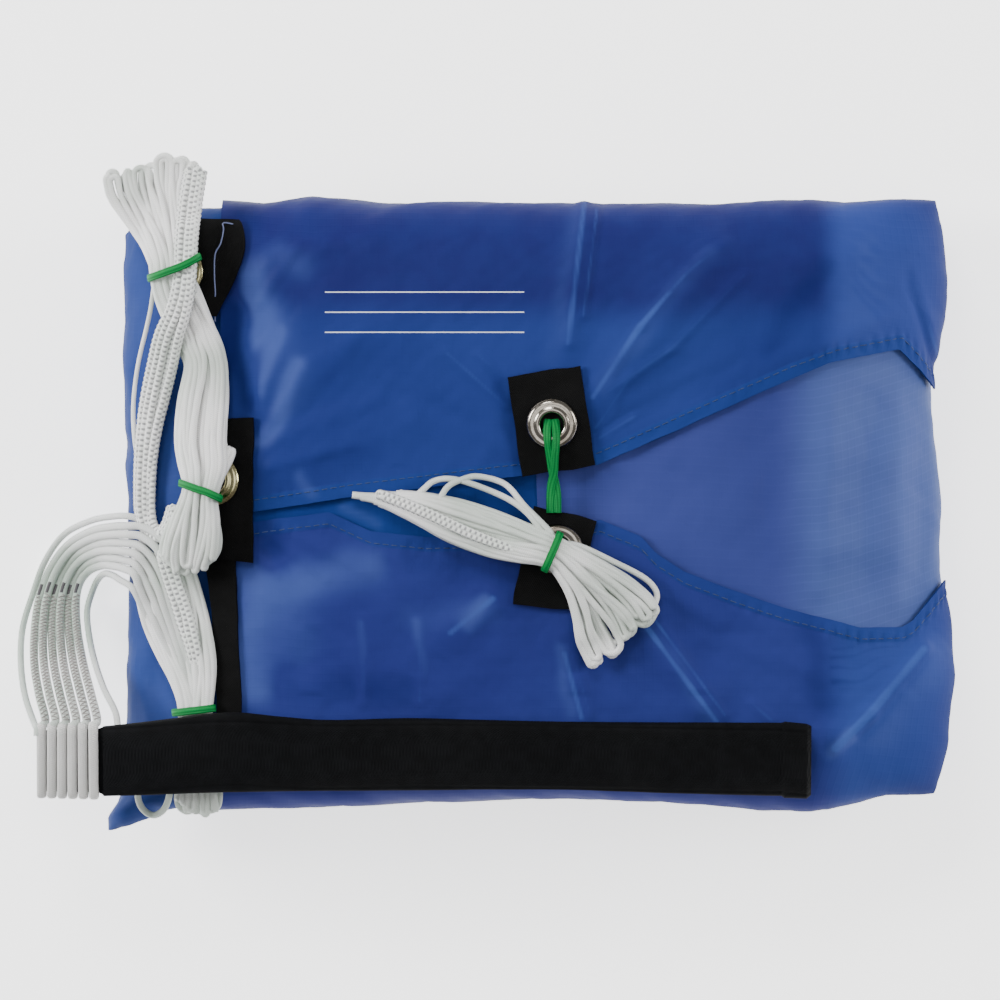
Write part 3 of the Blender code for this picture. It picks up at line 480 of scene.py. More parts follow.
    def top_height(self, x: np.ndarray, y: np.ndarray, fit: Fit = Fit.SIDES_LEVEL) -> np.ndarray:
        """Height of the outermost cloth at places, level past the limit so that it carries overhangs.

        Args:
            x: Places across.
            y: Places up.
            fit: Whether the sides stay level under overhangs.

        Returns:
            Heights.
        """
        x, y = np.asarray(x, float), np.asarray(y, float)
        p, q = 2 * x / self.length, 2 * y / self.width
        for _ in range(10):
            left, right, bottom, top = self.edges(np.clip(p, -1, 1), np.clip(q, -1, 1), 0.0)
            p = 2 * (x - left) / (right - left) - 1
            q = 2 * (y - bottom) / (top - bottom) - 1
        p, q = np.clip(p, -fit.value, fit.value), np.clip(q, -fit.value, fit.value)
        up = self.rise_of(p, self.end_power) * self.rise_of(q, self.side_power)
        return self.height(x, y, up, 0.0, Cloth.FLAP)

    def lay(self, x: np.ndarray, y: np.ndarray, lift: np.ndarray | float,
            fit: Fit = Fit.SIDES_LEVEL) -> tuple[np.ndarray, np.ndarray]:
        """Points at a lift over the outermost cloth, straight above their places.

        Args:
            x: Places across.
            y: Places up.
            lift: Distance over the cloth.
            fit: Whether the sides stay level under overhangs.

        Returns:
            The points and the cloth's normals there.
        """
        x, y = np.asarray(x, float), np.asarray(y, float)
        step = 1.5
        slope_x = (self.top_height(x + step, y, fit) - self.top_height(x - step, y, fit)) / (2 * step)
        slope_y = (self.top_height(x, y + step, fit) - self.top_height(x, y - step, fit)) / (2 * step)
        normal = unit(np.stack((-slope_x, -slope_y, np.ones_like(slope_x)), axis=-1))
        z = self.top_height(x, y, fit) + lift / np.maximum(self.steepest, normal[..., 2])
        return np.stack((x, y, z), axis=-1), normal

    def even_angles(self, across: float | None, first: float, last: float, count: int, depth: float,
                    layer: Cloth) -> np.ndarray:
        """Angles that part a layer evenly, upwards at one angle across or across at the middle.

        Args:
            across: Angles across, in degrees.
            first: Where it starts.
            last: Where it ends.
            count: How many there are.
            depth: How far the layer lies under the outermost cloth.
            layer: Which cloth of the container.

        Returns:
            The angles.
        """
        fine = np.linspace(first, last, 240)
        if across is None:
            line = self.points(fine, np.zeros(240), depth, layer)
        else:
            line = self.points(np.full(240, across), fine, depth, layer)
        walk = walk_of(line)
        return np.interp(np.linspace(0, walk[-1], count), walk, fine)


FORM = Container()


def ripple(x: np.ndarray, y: np.ndarray, seed: int, least: float, most: float) -> np.ndarray:
    """Uneven waves from about -1 to 1, of lengths between two sizes.

    Args:
        x: Places across.
        y: Places up.
        seed: Which waves.
        least: Shortest wave.
        most: Longest wave.

    Returns:
        One value a place.
    """
    chance = np.random.default_rng(seed)
    total = np.zeros(np.shape(x))
    for _ in range(14):
        turn, size, start = chance.uniform(0, 2 * np.pi), chance.uniform(least, most), chance.uniform(0,
                                                                                                      6.28)
        total = total + np.sin((x * np.cos(turn) + y * np.sin(turn)) * 2 * np.pi / size + start)
    return total / 5.0


# Finishes


class Graph:
    """Short calls that add nodes to a tree and join them."""

    def __init__(self, tree: bpy.types.NodeTree) -> None:
        """Works on the tree."""
        self.tree = tree

    def feed(self, socket: bpy.types.NodeSocket, value: object) -> None:
        """Links a socket or sets its value."""
        if isinstance(value, bpy.types.NodeSocket):
            self.tree.links.new(value, socket)
        else:
            socket.default_value = value

    def add(self, kind: str, inputs: dict | None = None, **settings: object) -> bpy.types.Node:
        """A node with its settings and inputs.

        Args:
            kind: The node's type.
            inputs: Values or links for its sockets.

        Returns:
            The node.
        """
        node = self.tree.nodes.new(kind)
        for key, value in settings.items():
            setattr(node, key, value)
        for key, value in (inputs or {}).items():
            self.feed(node.inputs[key], value)
        return node

    def math(self, operation: str, first: object, second: object = 0.0) -> bpy.types.NodeSocket:
        """The result of one sum on two values."""
        node = self.add("ShaderNodeMath", operation=operation)
        self.feed(node.inputs[0], first)
        self.feed(node.inputs[1], second)
        return node.outputs[0]

    def ramp(self, value: object, low: float, high: float, start: float = 0.0,
             end: float = 1.0) -> bpy.types.NodeSocket:
        """The value carried softly from one range to another."""
        node = self.add("ShaderNodeMapRange", {"Value": value, "From Min": low, "From Max": high,
                                               "To Min": start, "To Max": end},
                                               interpolation_type="SMOOTHSTEP")
        return node.outputs["Result"]

    def blend(self, share: object, first: object, second: object) -> bpy.types.NodeSocket:
        """Two colours mixed by a share."""
        node = self.add("ShaderNodeMix", data_type="RGBA")
        self.feed(node.inputs["Factor"], share)
        self.feed(node.inputs["A"], first)
        self.feed(node.inputs["B"], second)
        return node.outputs["Result"]

    def noise(self, place: object, scale: float, detail: float = 2.0) -> bpy.types.NodeSocket:
        """Soft noise at a scale."""
        return self.add("ShaderNodeTexNoise",
                        {"Vector": place, "Scale": scale, "Detail": detail}).outputs["Fac"]

    def parts(self, place: object) -> tuple[bpy.types.NodeSocket, ...]:
        """The three parts of a place."""
        return tuple(self.add("ShaderNodeSeparateXYZ", {"Vector": place}).outputs)


def group(name: str, inputs: dict[str, str], outputs: dict[str, str]) -> tuple[Graph, dict, dict]:
    """A node group with named sockets.

    Args:
        name: The group's name.
        inputs: Socket name to its type.
        outputs: Socket name to its type.

    Returns:
        The graph, the group's inputs and its output sockets by name.
    """
    tree = bpy.data.node_groups.new(name, "ShaderNodeTree")
    for label, kind in inputs.items():
        tree.interface.new_socket(label, in_out="INPUT", socket_type=kind)
    for label, kind in outputs.items():
        tree.interface.new_socket(label, in_out="OUTPUT", socket_type=kind)
    given = tree.nodes.new("NodeGroupInput")
    result = tree.nodes.new("NodeGroupOutput")
    return Graph(tree), {s.name: s for s in given.outputs}, {s.name: s for s in result.inputs}


VALUE, PLACE = "NodeSocketFloat", "NodeSocketVector"


def make_grid_weave() -> bpy.types.NodeTree:
    """Thicker threads at even steps both ways, as in ripstop cloth."""
    graph, given, result = group("grid weave", {"Place": PLACE, "Step": VALUE, "Width": VALUE},
                                 {"Across": VALUE, "Along": VALUE})
    for part, label in zip(graph.parts(given["Place"])[:2], ("Along", "Across")):
        share = graph.math("FRACT", graph.math("DIVIDE", part, given["Step"]))
        away = graph.math("ABSOLUTE", graph.math("SUBTRACT", share, 0.5))
        near = graph.math("SUBTRACT", 0.5, away)
        lines = graph.math("SUBTRACT", 1.0, graph.math("DIVIDE", near, given["Width"]))
        graph.feed(result[label], graph.math("MAXIMUM", lines, 0.0))
    return graph.tree


def make_plait() -> bpy.types.NodeTree:
    """Crossing yarns of a braided line: their height and the gaps between them."""
    graph, given, result = group("plait", {"Place": PLACE, "Round": VALUE, "Step": VALUE},
                                 {"Height": VALUE, "Gap": VALUE})
    u, v, _ = graph.parts(given["Place"])
    a = graph.math("MULTIPLY", u, given["Round"])
    b = graph.math("DIVIDE", v, given["Step"])
    waves = []
    for operation in ("ADD", "SUBTRACT"):
        turn = graph.math("MULTIPLY", graph.math(operation, a, b), 2 * math.pi)
        waves.append(graph.math("SINE", turn))
    height = graph.math("MULTIPLY", waves[0], waves[1])
    graph.feed(result["Height"], graph.math("ABSOLUTE", height))
    graph.feed(result["Gap"], graph.ramp(graph.math("ABSOLUTE", height), 0.0, 0.3, 1.0, 0.0))
    return graph.tree


def make_mottle() -> bpy.types.NodeTree:
    """Large and small soft patches for uneven colour and wear."""
    graph, given, result = group("mottle", {"Place": PLACE, "Size": VALUE}, {"Large": VALUE, "Small": VALUE})
    large = graph.add("ShaderNodeTexNoise",
                      {"Vector": given["Place"], "Scale": given["Size"], "Detail": 2.0})
    fine = graph.math("MULTIPLY", given["Size"], 9.0)
    small = graph.add("ShaderNodeTexNoise", {"Vector": given["Place"], "Scale": fine, "Detail": 3.0})
    graph.feed(result["Large"], large.outputs["Fac"])
    graph.feed(result["Small"], small.outputs["Fac"])
    return graph.tree


class Shared:
    """The node groups that several finishes use, each made once."""

    made: dict[str, bpy.types.NodeTree] = {}

    @classmethod
    def use(cls, graph: Graph, name: str, inputs: dict) -> bpy.types.Node:
        """A node of the named group in a graph.

        Args:
            graph: The material's nodes.
            name: The piece's name.
            inputs: Values or links for its sockets.

        Returns:
            The placed group.
        """
        if not cls.made:
            cls.made = {tree.name: tree for tree in (make_grid_weave(), make_plait(), make_mottle())}
        node = graph.add("ShaderNodeGroup", node_tree=cls.made[name])
        for key, value in inputs.items():
            graph.feed(node.inputs[key], value)
        return node


def start_material(name: str) -> tuple[bpy.types.Material, Graph, bpy.types.Node]:
    """A material with its graph and its Principled shader."""
    material = bpy.data.materials.new(name)
    material.use_nodes = True
    return material, Graph(material.node_tree), material.node_tree.nodes["Principled BSDF"]


@dataclass(frozen=True)
class RipstopFinish:
    """Thin calendered cloth: deep and light tones, ripstop threads and soft sheen, with painted light and shade
    on its rims, its sides, broad patches and the ridges of creases.
    """

    name: str
    deep: tuple[float, float, float]
    light: tuple[float, float, float]
    hem: tuple[float, float, float]
    lines: float = 0.15
    step: float = 0.3
    sheen: float = 0.0
    hem_width: float = 0.5
    # Painted highlight along the ridges of narrow creases
    crest_highlight_tone: tuple[float, float, float] = (0.05, 0.10, 0.34)
    # Tone of the upper and lower parts (painted shade on the top flap, a more violet tone on the bottom flap),
    # and painted sheen on the part past two places across
    rim_shade_and_tint: tuple[float, float, float] | None = None
    rim_from: tuple[float, float] = (66.0, 82.0)
    side_sheen_tone: tuple[float, float, float] | None = None
    side_sheen_from: tuple[float, float] = (88.0, 100.0)
    gloss: float = 0.03
    # Tone near the surface on which the pack rests: painted shade on the flaps, painted light on the leaves'
    # sides
    low_light_and_shade_tone: tuple[float, float, float] = (0.0095, 0.0130, 0.088)
    # Painted sheen and painted shade tones of the broad patches
    lit: tuple[float, float, float] = (0.050, 0.082, 0.275)
    shaded: tuple[float, float, float] = (0.0045, 0.010, 0.082)
    ruled: Rows = ()

    def make(self) -> bpy.types.Material:
        """The finish as a material."""
        material, graph, shader = start_material(self.name)
        place = graph.add("ShaderNodeTexCoord").outputs["Object"]
        flat = graph.add("ShaderNodeUVMap", uv_map="Flat").outputs["UV"]
        edge = graph.add("ShaderNodeUVMap", uv_map="Edge").outputs["UV"]
        mottle = Shared.use(graph, "mottle", {"Place": place, "Size": 9.0})
        grid = Shared.use(graph, "grid weave", {"Place": flat, "Step": self.step, "Width": 0.16})
        tone = graph.ramp(mottle.outputs["Large"], 0.32, 0.68)
        colour = graph.blend(tone, (*self.deep, 1), (*self.light, 1))
        across, upward, _ = graph.parts(place)
        # Painted shade towards the upper and lower rims on the top flap; on the bottom flap a more violet tone
        # there
        if self.rim_shade_and_tint:
            bend = graph.math("ADD", upward, graph.math("MULTIPLY", mottle.outputs["Large"], 0.012))
            high = graph.ramp(graph.math("ABSOLUTE", bend), *(v * MM for v in self.rim_from), 0.0, 0.88)
            colour = graph.blend(high, colour, (*self.rim_shade_and_tint, 1))
        # Painted sheen: a lighter tone on the side past two places across, where the ripstop threads also show
        # more
        far = graph.ramp(across, self.side_sheen_from[0] * MM, self.side_sheen_from[1] * MM) if self.side_sheen_tone else None
        if far:
            colour = graph.blend(far, colour, (*self.side_sheen_tone, 1))
        grain = graph.ramp(mottle.outputs["Small"], 0.3, 0.7, 0.0, 0.16)
        colour = graph.blend(grain, colour, (*self.light, 1))
        away = graph.parts(edge)[1]
        hem = graph.ramp(away, self.hem_width, self.hem_width + 0.05, 1.0, 0.0)
        colour = graph.blend(graph.math("MULTIPLY", hem, 0.45), colour, (*self.hem, 1))
        threads = graph.math("ADD", graph.math("MULTIPLY", grid.outputs["Across"], self.lines),
                             graph.math("MULTIPLY", grid.outputs["Along"], self.lines * 0.15))
        if far:
            threads = graph.math("MULTIPLY", threads,
                                 graph.math("ADD", 0.15, graph.math("MULTIPLY", far, 0.85)))
        colour = graph.blend(threads, colour, tuple(min(1.0, c * 2.4 + 0.05) for c in self.light) + (1,))
        # Painted shade low on the flaps and painted light low on the leaves' sides, near the surface on which
        # the pack rests
        low = graph.ramp(graph.parts(place)[2], 0.028, 0.058, 0.75, 0.0)
        colour = graph.blend(low, colour, (*self.low_light_and_shade_tone, 1))
        # Painted sheen and painted shade from the map's second share, then a painted highlight along the ridges
        # of creases from its first
        fold, light, _ = graph.parts(graph.add("ShaderNodeUVMap", uv_map="Fold").outputs["UV"])
        colour = graph.blend(graph.ramp(light, 0.05, 1.0, 0.0, 0.85), colour, (*self.lit, 1))
        colour = graph.blend(graph.ramp(light, -0.05, -1.0, 0.0, 0.8), colour, (*self.shaded, 1))
        # Painted highlight along the ridges of narrow creases, from the map's first share
        colour = graph.blend(graph.ramp(fold, 0.3, 1.05, 0.0, 0.62), colour, (*self.crest_highlight_tone, 1))
        if self.ruled:
            x, y, _ = graph.parts(place)
            for left, right, level, thick in self.ruled:
                inside = graph.math("LESS_THAN",
                                    graph.math("ABSOLUTE",
                                               graph.math("SUBTRACT", x, (left + right) / 2 * MM)),
                                    (right - left) / 2 * MM)
                near = graph.math("LESS_THAN", graph.math("ABSOLUTE", graph.math("SUBTRACT", y, level * MM)),
                                  thick / 2 * MM)
                colour = graph.blend(graph.math("MULTIPLY", graph.math("MULTIPLY", inside, near), 0.85),
                                     colour, (0.75, 0.78, 0.85, 1))
        graph.feed(shader.inputs["Base Color"], colour)
        graph.feed(shader.inputs["Roughness"], graph.ramp(mottle.outputs["Large"], 0.3, 0.7, 0.48, 0.62))
        crinkle = graph.noise(place, 160.0, 3.0)
        lifted = graph.math("ADD", graph.math("MULTIPLY", crinkle, 0.5),
                            graph.math("MULTIPLY",
                                       graph.math("ADD", grid.outputs["Across"], grid.outputs["Along"]),
                                       0.12))
        bump = graph.add("ShaderNodeBump", {"Height": lifted, "Strength": 0.3, "Distance": 0.0006})
        graph.feed(shader.inputs["Normal"], bump.outputs["Normal"])
        shader.inputs["Sheen Weight"].default_value = self.sheen
        shader.inputs["Sheen Roughness"].default_value = 0.35
        shader.inputs["Sheen Tint"].default_value = (0.62, 0.74, 1.0, 1)
        shader.inputs["Specular IOR Level"].default_value = self.gloss
        return material


@dataclass(frozen=True)
class WebbingFinish:
    """Matt black woven cloth with ribs across it."""

    name: str
    colour: tuple[float, float, float]
    ribs: float = 0.09
    map_name: str = "Flat"

    def make(self) -> bpy.types.Material:
        """The finish as a material."""
        material, graph, shader = start_material(self.name)
        place = graph.add("ShaderNodeTexCoord").outputs["Object"]
        flat = graph.add("ShaderNodeUVMap", uv_map=self.map_name).outputs["UV"]
        mottle = Shared.use(graph, "mottle", {"Place": place, "Size": 22.0})
        u, v, _ = graph.parts(flat)
        waves = graph.math("MULTIPLY", graph.math("SINE",
                                                  graph.math("MULTIPLY", u, 2 * math.pi / self.ribs)),
                           graph.math("SINE", graph.math("MULTIPLY", v, 2 * math.pi / self.ribs)))
        tone = graph.ramp(mottle.outputs["Small"], 0.3, 0.75)
        light = tuple(c * 1.6 + 0.0004 for c in self.colour)
        graph.feed(shader.inputs["Base Color"], graph.blend(tone, (*self.colour, 1), (*light, 1)))
        graph.feed(shader.inputs["Roughness"], graph.ramp(mottle.outputs["Large"], 0.3, 0.7, 0.7, 0.88))
        bump = graph.add("ShaderNodeBump", {"Height": waves, "Strength": 0.4, "Distance": 0.0003})
        graph.feed(shader.inputs["Normal"], bump.outputs["Normal"])
        shader.inputs["Specular IOR Level"].default_value = 0.1
        return material


@dataclass(frozen=True)
class LineFinish:
    """Braided white line: crossing yarns, shaded gaps and a greenish shade in patches."""

    name: str
    light: tuple[float, float, float]
    shade: tuple[float, float, float]
    gap: tuple[float, float, float]
    around: float = 3.0
    step: float = 0.16
    depth: float = 0.35
    gap_share: float = 0.45
    beads: float = 0.0

    def make(self) -> bpy.types.Material:
        """The finish as a material."""
        material, graph, shader = start_material(self.name)
        place = graph.add("ShaderNodeTexCoord").outputs["Object"]
        along = graph.add("ShaderNodeUVMap", uv_map="Along").outputs["UV"]
        mottle = Shared.use(graph, "mottle", {"Place": place, "Size": 26.0})
        plait = Shared.use(graph, "plait", {"Place": along, "Round": self.around, "Step": self.step})
        colour = graph.blend(graph.ramp(mottle.outputs["Large"], 0.38, 0.66), (*self.light, 1),
                             (*self.shade, 1))
        gap = plait.outputs["Gap"]
        if self.beads:
            u, v, _ = graph.parts(along)
            wave = graph.math("SINE", graph.math("MULTIPLY", v, 2 * math.pi / self.beads))
            round_it = graph.math("COSINE",
                                  graph.math("MULTIPLY", graph.math("SUBTRACT", u, 0.25), 4 * math.pi))
            gap = graph.ramp(graph.math("MULTIPLY", wave, round_it), -0.6, 0.15, 1.0, 0.0)
        gap = graph.math("MULTIPLY", gap, self.gap_share)
        colour = graph.blend(gap, colour, (*self.gap, 1))
        graph.feed(shader.inputs["Base Color"], colour)
        graph.feed(shader.inputs["Roughness"], graph.ramp(mottle.outputs["Small"], 0.3, 0.7, 0.45, 0.6))
        bump = graph.add("ShaderNodeBump",
                         {"Height": plait.outputs["Height"], "Strength": self.depth, "Distance": 0.0005})
        graph.feed(shader.inputs["Normal"], bump.outputs["Normal"])
        shader.inputs["Sheen Weight"].default_value = 0.05
        shader.inputs["Subsurface Weight"].default_value = 0.05
        shader.inputs["Subsurface Radius"].default_value = (0.0015, 0.0015, 0.0012)
        return material


@dataclass(frozen=True)
class ElasticFinish:
    """Woven elastic: fine ribs along it, with painted light on the raised ones and painted shade between them.
    """

    name: str
    deep: tuple[float, float, float]
    light: tuple[float, float, float]
    ribs: float = 9.0

    def make(self) -> bpy.types.Material:
        """The finish as a material."""
        material, graph, shader = start_material(self.name)
        along = graph.add("ShaderNodeUVMap", uv_map="Along").outputs["UV"]
        u, v, _ = graph.parts(along)
        rib = graph.math("ABSOLUTE", graph.math("SINE", graph.math("MULTIPLY", u, math.pi * self.ribs)))
        knit = graph.math("ABSOLUTE", graph.math("SINE", graph.math("MULTIPLY", v, math.pi / 0.06)))
        height = graph.math("MULTIPLY", rib, graph.math("ADD", 0.6, graph.math("MULTIPLY", knit, 0.4)))
        # Painted light on the raised ribs, painted shade in the hollows between them
        graph.feed(shader.inputs["Base Color"], graph.blend(height, (*self.deep, 1), (*self.light, 1)))
        graph.feed(shader.inputs["Roughness"], graph.ramp(height, 0.0, 1.0, 0.65, 0.5))
        bump = graph.add("ShaderNodeBump", {"Height": height, "Strength": 0.5, "Distance": 0.0003})
        graph.feed(shader.inputs["Normal"], bump.outputs["Normal"])
        shader.inputs["Specular IOR Level"].default_value = 0.15
        return material


@dataclass(frozen=True)
class MetalFinish:
    """Plated metal with fine rubbed marks and worn patches."""

    name: str
    bright: tuple[float, float, float]
    worn: tuple[float, float, float]
    low: float = 0.16
    high: float = 0.34

    def make(self) -> bpy.types.Material:
        """The finish as a material."""
        material, graph, shader = start_material(self.name)
        place = graph.add("ShaderNodeTexCoord").outputs["Object"]
        mottle = Shared.use(graph, "mottle", {"Place": place, "Size": 150.0})
        wear = graph.ramp(mottle.outputs["Large"], 0.45, 0.75)
        graph.feed(shader.inputs["Base Color"], graph.blend(wear, (*self.bright, 1), (*self.worn, 1)))
        graph.feed(shader.inputs["Roughness"],
                   graph.ramp(mottle.outputs["Small"], 0.3, 0.7, self.low, self.high))
        bump = graph.add("ShaderNodeBump",
                         {"Height": mottle.outputs["Small"], "Strength": 0.1, "Distance": 0.0002})
        graph.feed(shader.inputs["Normal"], bump.outputs["Normal"])
        shader.inputs["Metallic"].default_value = 1.0
        return material


@dataclass(frozen=True)
class ThreadFinish:
    """Sewing thread with its fine twist, with painted highlights along the twist."""

    name: str
    colour: tuple[float, float, float]

    def make(self) -> bpy.types.Material:
        """The finish as a material."""
        material, graph, shader = start_material(self.name)
        along = graph.add("ShaderNodeUVMap", uv_map="Along").outputs["UV"]
        u, v, _ = graph.parts(along)
        turn = graph.math("ADD", graph.math("MULTIPLY", u, 2 * math.pi), graph.math("MULTIPLY", v, 120.0))
        twist = graph.ramp(graph.math("SINE", turn), -1.0, 1.0)
        light = tuple(min(1.0, c * 1.5 + 0.01) for c in self.colour)
        # Painted highlight: lighter on the twist's raised turns
        graph.feed(shader.inputs["Base Color"], graph.blend(twist, (*self.colour, 1), (*light, 1)))
        bump = graph.add("ShaderNodeBump", {"Height": twist, "Strength": 0.4, "Distance": 0.0002})
        graph.feed(shader.inputs["Normal"], bump.outputs["Normal"])
        shader.inputs["Roughness"].default_value = 0.55
        return material


@dataclass(frozen=True)
class FloorFinish:
    """Pale floor with a hardly seen grain."""

    name: str = "pale floor"
    glow: float = 1.9

    def make(self) -> bpy.types.Material:
        """The finish as a material."""
        material, graph, shader = start_material(self.name)
        place = graph.add("ShaderNodeTexCoord").outputs["Object"]
        tone = graph.ramp(graph.noise(place, 4.0), 0.3, 0.7)
        graph.feed(shader.inputs["Base Color"],
                   graph.blend(tone, (0.93, 0.93, 0.93, 1), (0.95, 0.95, 0.95, 1)))
        shader.inputs["Emission Color"].default_value = (1, 1, 1, 1)
        shader.inputs["Emission Strength"].default_value = self.glow
        shader.inputs["Roughness"].default_value = 0.8
        shader.inputs["Specular IOR Level"].default_value = 0.1
        return material


class Finish(Enum):
    """The finishes by name."""

    # In the ripstops the rim, side and low tones are painted shade and painted sheen, with a violet tone on the
    # bottom flap's rims
    TOP = RipstopFinish("royal ripstop", (0.0150, 0.0265, 0.145), (0.0215, 0.040, 0.188),
                        (0.011, 0.038, 0.18),
                        lines=0.012, rim_shade_and_tint=(0.0125, 0.0140, 0.100), side_sheen_tone=(0.030, 0.052, 0.225),
                        side_sheen_from=(100.0, 112.0), ruled=((-74.9, -3.6, 74.4, 0.42),
                                                        (-74.9, -3.6, 67.2, 0.42),
                                                        (-74.9, -3.6, 60.0, 0.42)))
    BOTTOM = RipstopFinish("royal ripstop lower", (0.0175, 0.0235, 0.142), (0.0240, 0.034, 0.176),
                           (0.012, 0.034, 0.165),
                           lines=0.012, rim_shade_and_tint=(0.022, 0.028, 0.16), rim_from=(80.0, 106.0),
                           side_sheen_tone=(0.027, 0.050, 0.215), side_sheen_from=(100.0, 116.0))
    LEAF = RipstopFinish("violet blue ripstop", (0.0260, 0.037, 0.180), (0.034, 0.049, 0.208),
                         (0.03, 0.08, 0.3),
                         lines=0.09, sheen=0.05, hem_width=-1.0, side_sheen_tone=(0.058, 0.092, 0.275),
                         side_sheen_from=(84.0, 108.0), gloss=0.1, low_light_and_shade_tone=(0.030, 0.060, 0.20))
    LEFT_LEAF = RipstopFinish("blue ripstop leaf", (0.007, 0.026, 0.145), (0.012, 0.038, 0.18),
                              (0.03, 0.08, 0.3), lines=0.02, hem_width=-1.0, side_sheen_tone=(0.029, 0.052, 0.20),
                              side_sheen_from=(-110.0, -124.0), gloss=0.03, low_light_and_shade_tone=(0.022, 0.044, 0.165))
    BODY = RipstopFinish("container back", (0.012, 0.028, 0.155), (0.018, 0.040, 0.195), (0.02, 0.06, 0.27),
                         lines=0.03, hem_width=-1.0)
    BLACK = WebbingFinish("black woven cloth", (0.0016, 0.0016, 0.0017))
    SLEEVE = WebbingFinish("black sleeve", (0.0020, 0.0022, 0.0027), 0.12, "Along")
    LINE = LineFinish("braided line", (0.90, 0.89, 0.885), (0.55, 0.61, 0.55), (0.36, 0.38, 0.37))
    PLAIT = LineFinish("coarse braid", (0.88, 0.88, 0.87), (0.74, 0.79, 0.74), (0.20, 0.21, 0.21), 3.0, 0.16,
                       0.35, 0.85, 0.2)
    # A darker copy of the braided line for the free lines: painted shade
    FREE = LineFinish("free line", (0.66, 0.67, 0.66), (0.42, 0.50, 0.43), (0.30, 0.32, 0.31))
    SEWN = LineFinish("sewn line", (0.74, 0.73, 0.72), (0.62, 0.62, 0.60), (0.30, 0.29, 0.29), 3.0, 0.13,
                      0.5, 0.6)
    ELASTIC = ElasticFinish("green elastic", (0.0006, 0.105, 0.018), (0.0016, 0.225, 0.05))
    NICKEL = MetalFinish("nickel plate", (0.30, 0.275, 0.24), (0.18, 0.155, 0.125), 0.12, 0.24)
    BRASS = MetalFinish("worn brass plate", (0.46, 0.42, 0.24), (0.22, 0.17, 0.08), 0.16, 0.32)
    GREY_THREAD = ThreadFinish("grey thread", (0.21, 0.19, 0.18))
    DARK_THREAD = ThreadFinish("dark cut end", (0.05, 0.045, 0.05))
    TEAL_THREAD = ThreadFinish("teal thread", (0.004, 0.020, 0.085))
    PALE_THREAD = ThreadFinish("pale blue thread", (0.10, 0.12, 0.24))
    FLOOR = FloorFinish()


class Dresser:
    """Gives pieces their finish and their body, and hides the CAD parts that they stand for."""

    made: dict[Finish, bpy.types.Material] = {}

    @classmethod
    def material(cls, finish: Finish) -> bpy.types.Material:
        """The finish's material, made once."""
        if finish not in cls.made:
            cls.made[finish] = finish.value.make()
        return cls.made[finish]

    @classmethod
    def dress(cls, obj: bpy.types.Object, finish: Finish, slot: str,
              nodes: tuple[str, ...] = ()) -> bpy.types.Object:
        """Finishes a piece and sets it in the frame.

        Args:
            obj: The piece.
            finish: Its finish.
            slot: The record's material slot; not used.
            nodes: The CAD nodes that it stands for.

        Returns:
            The piece.
        """
        obj.data.materials.clear()
        obj.data.materials.append(cls.material(finish))
        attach(obj, "root")
        if nodes:
            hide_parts(*nodes)
        log.info("%s: %d faces", obj.name, len(obj.data.polygons))
        return obj


# Container and its cloths


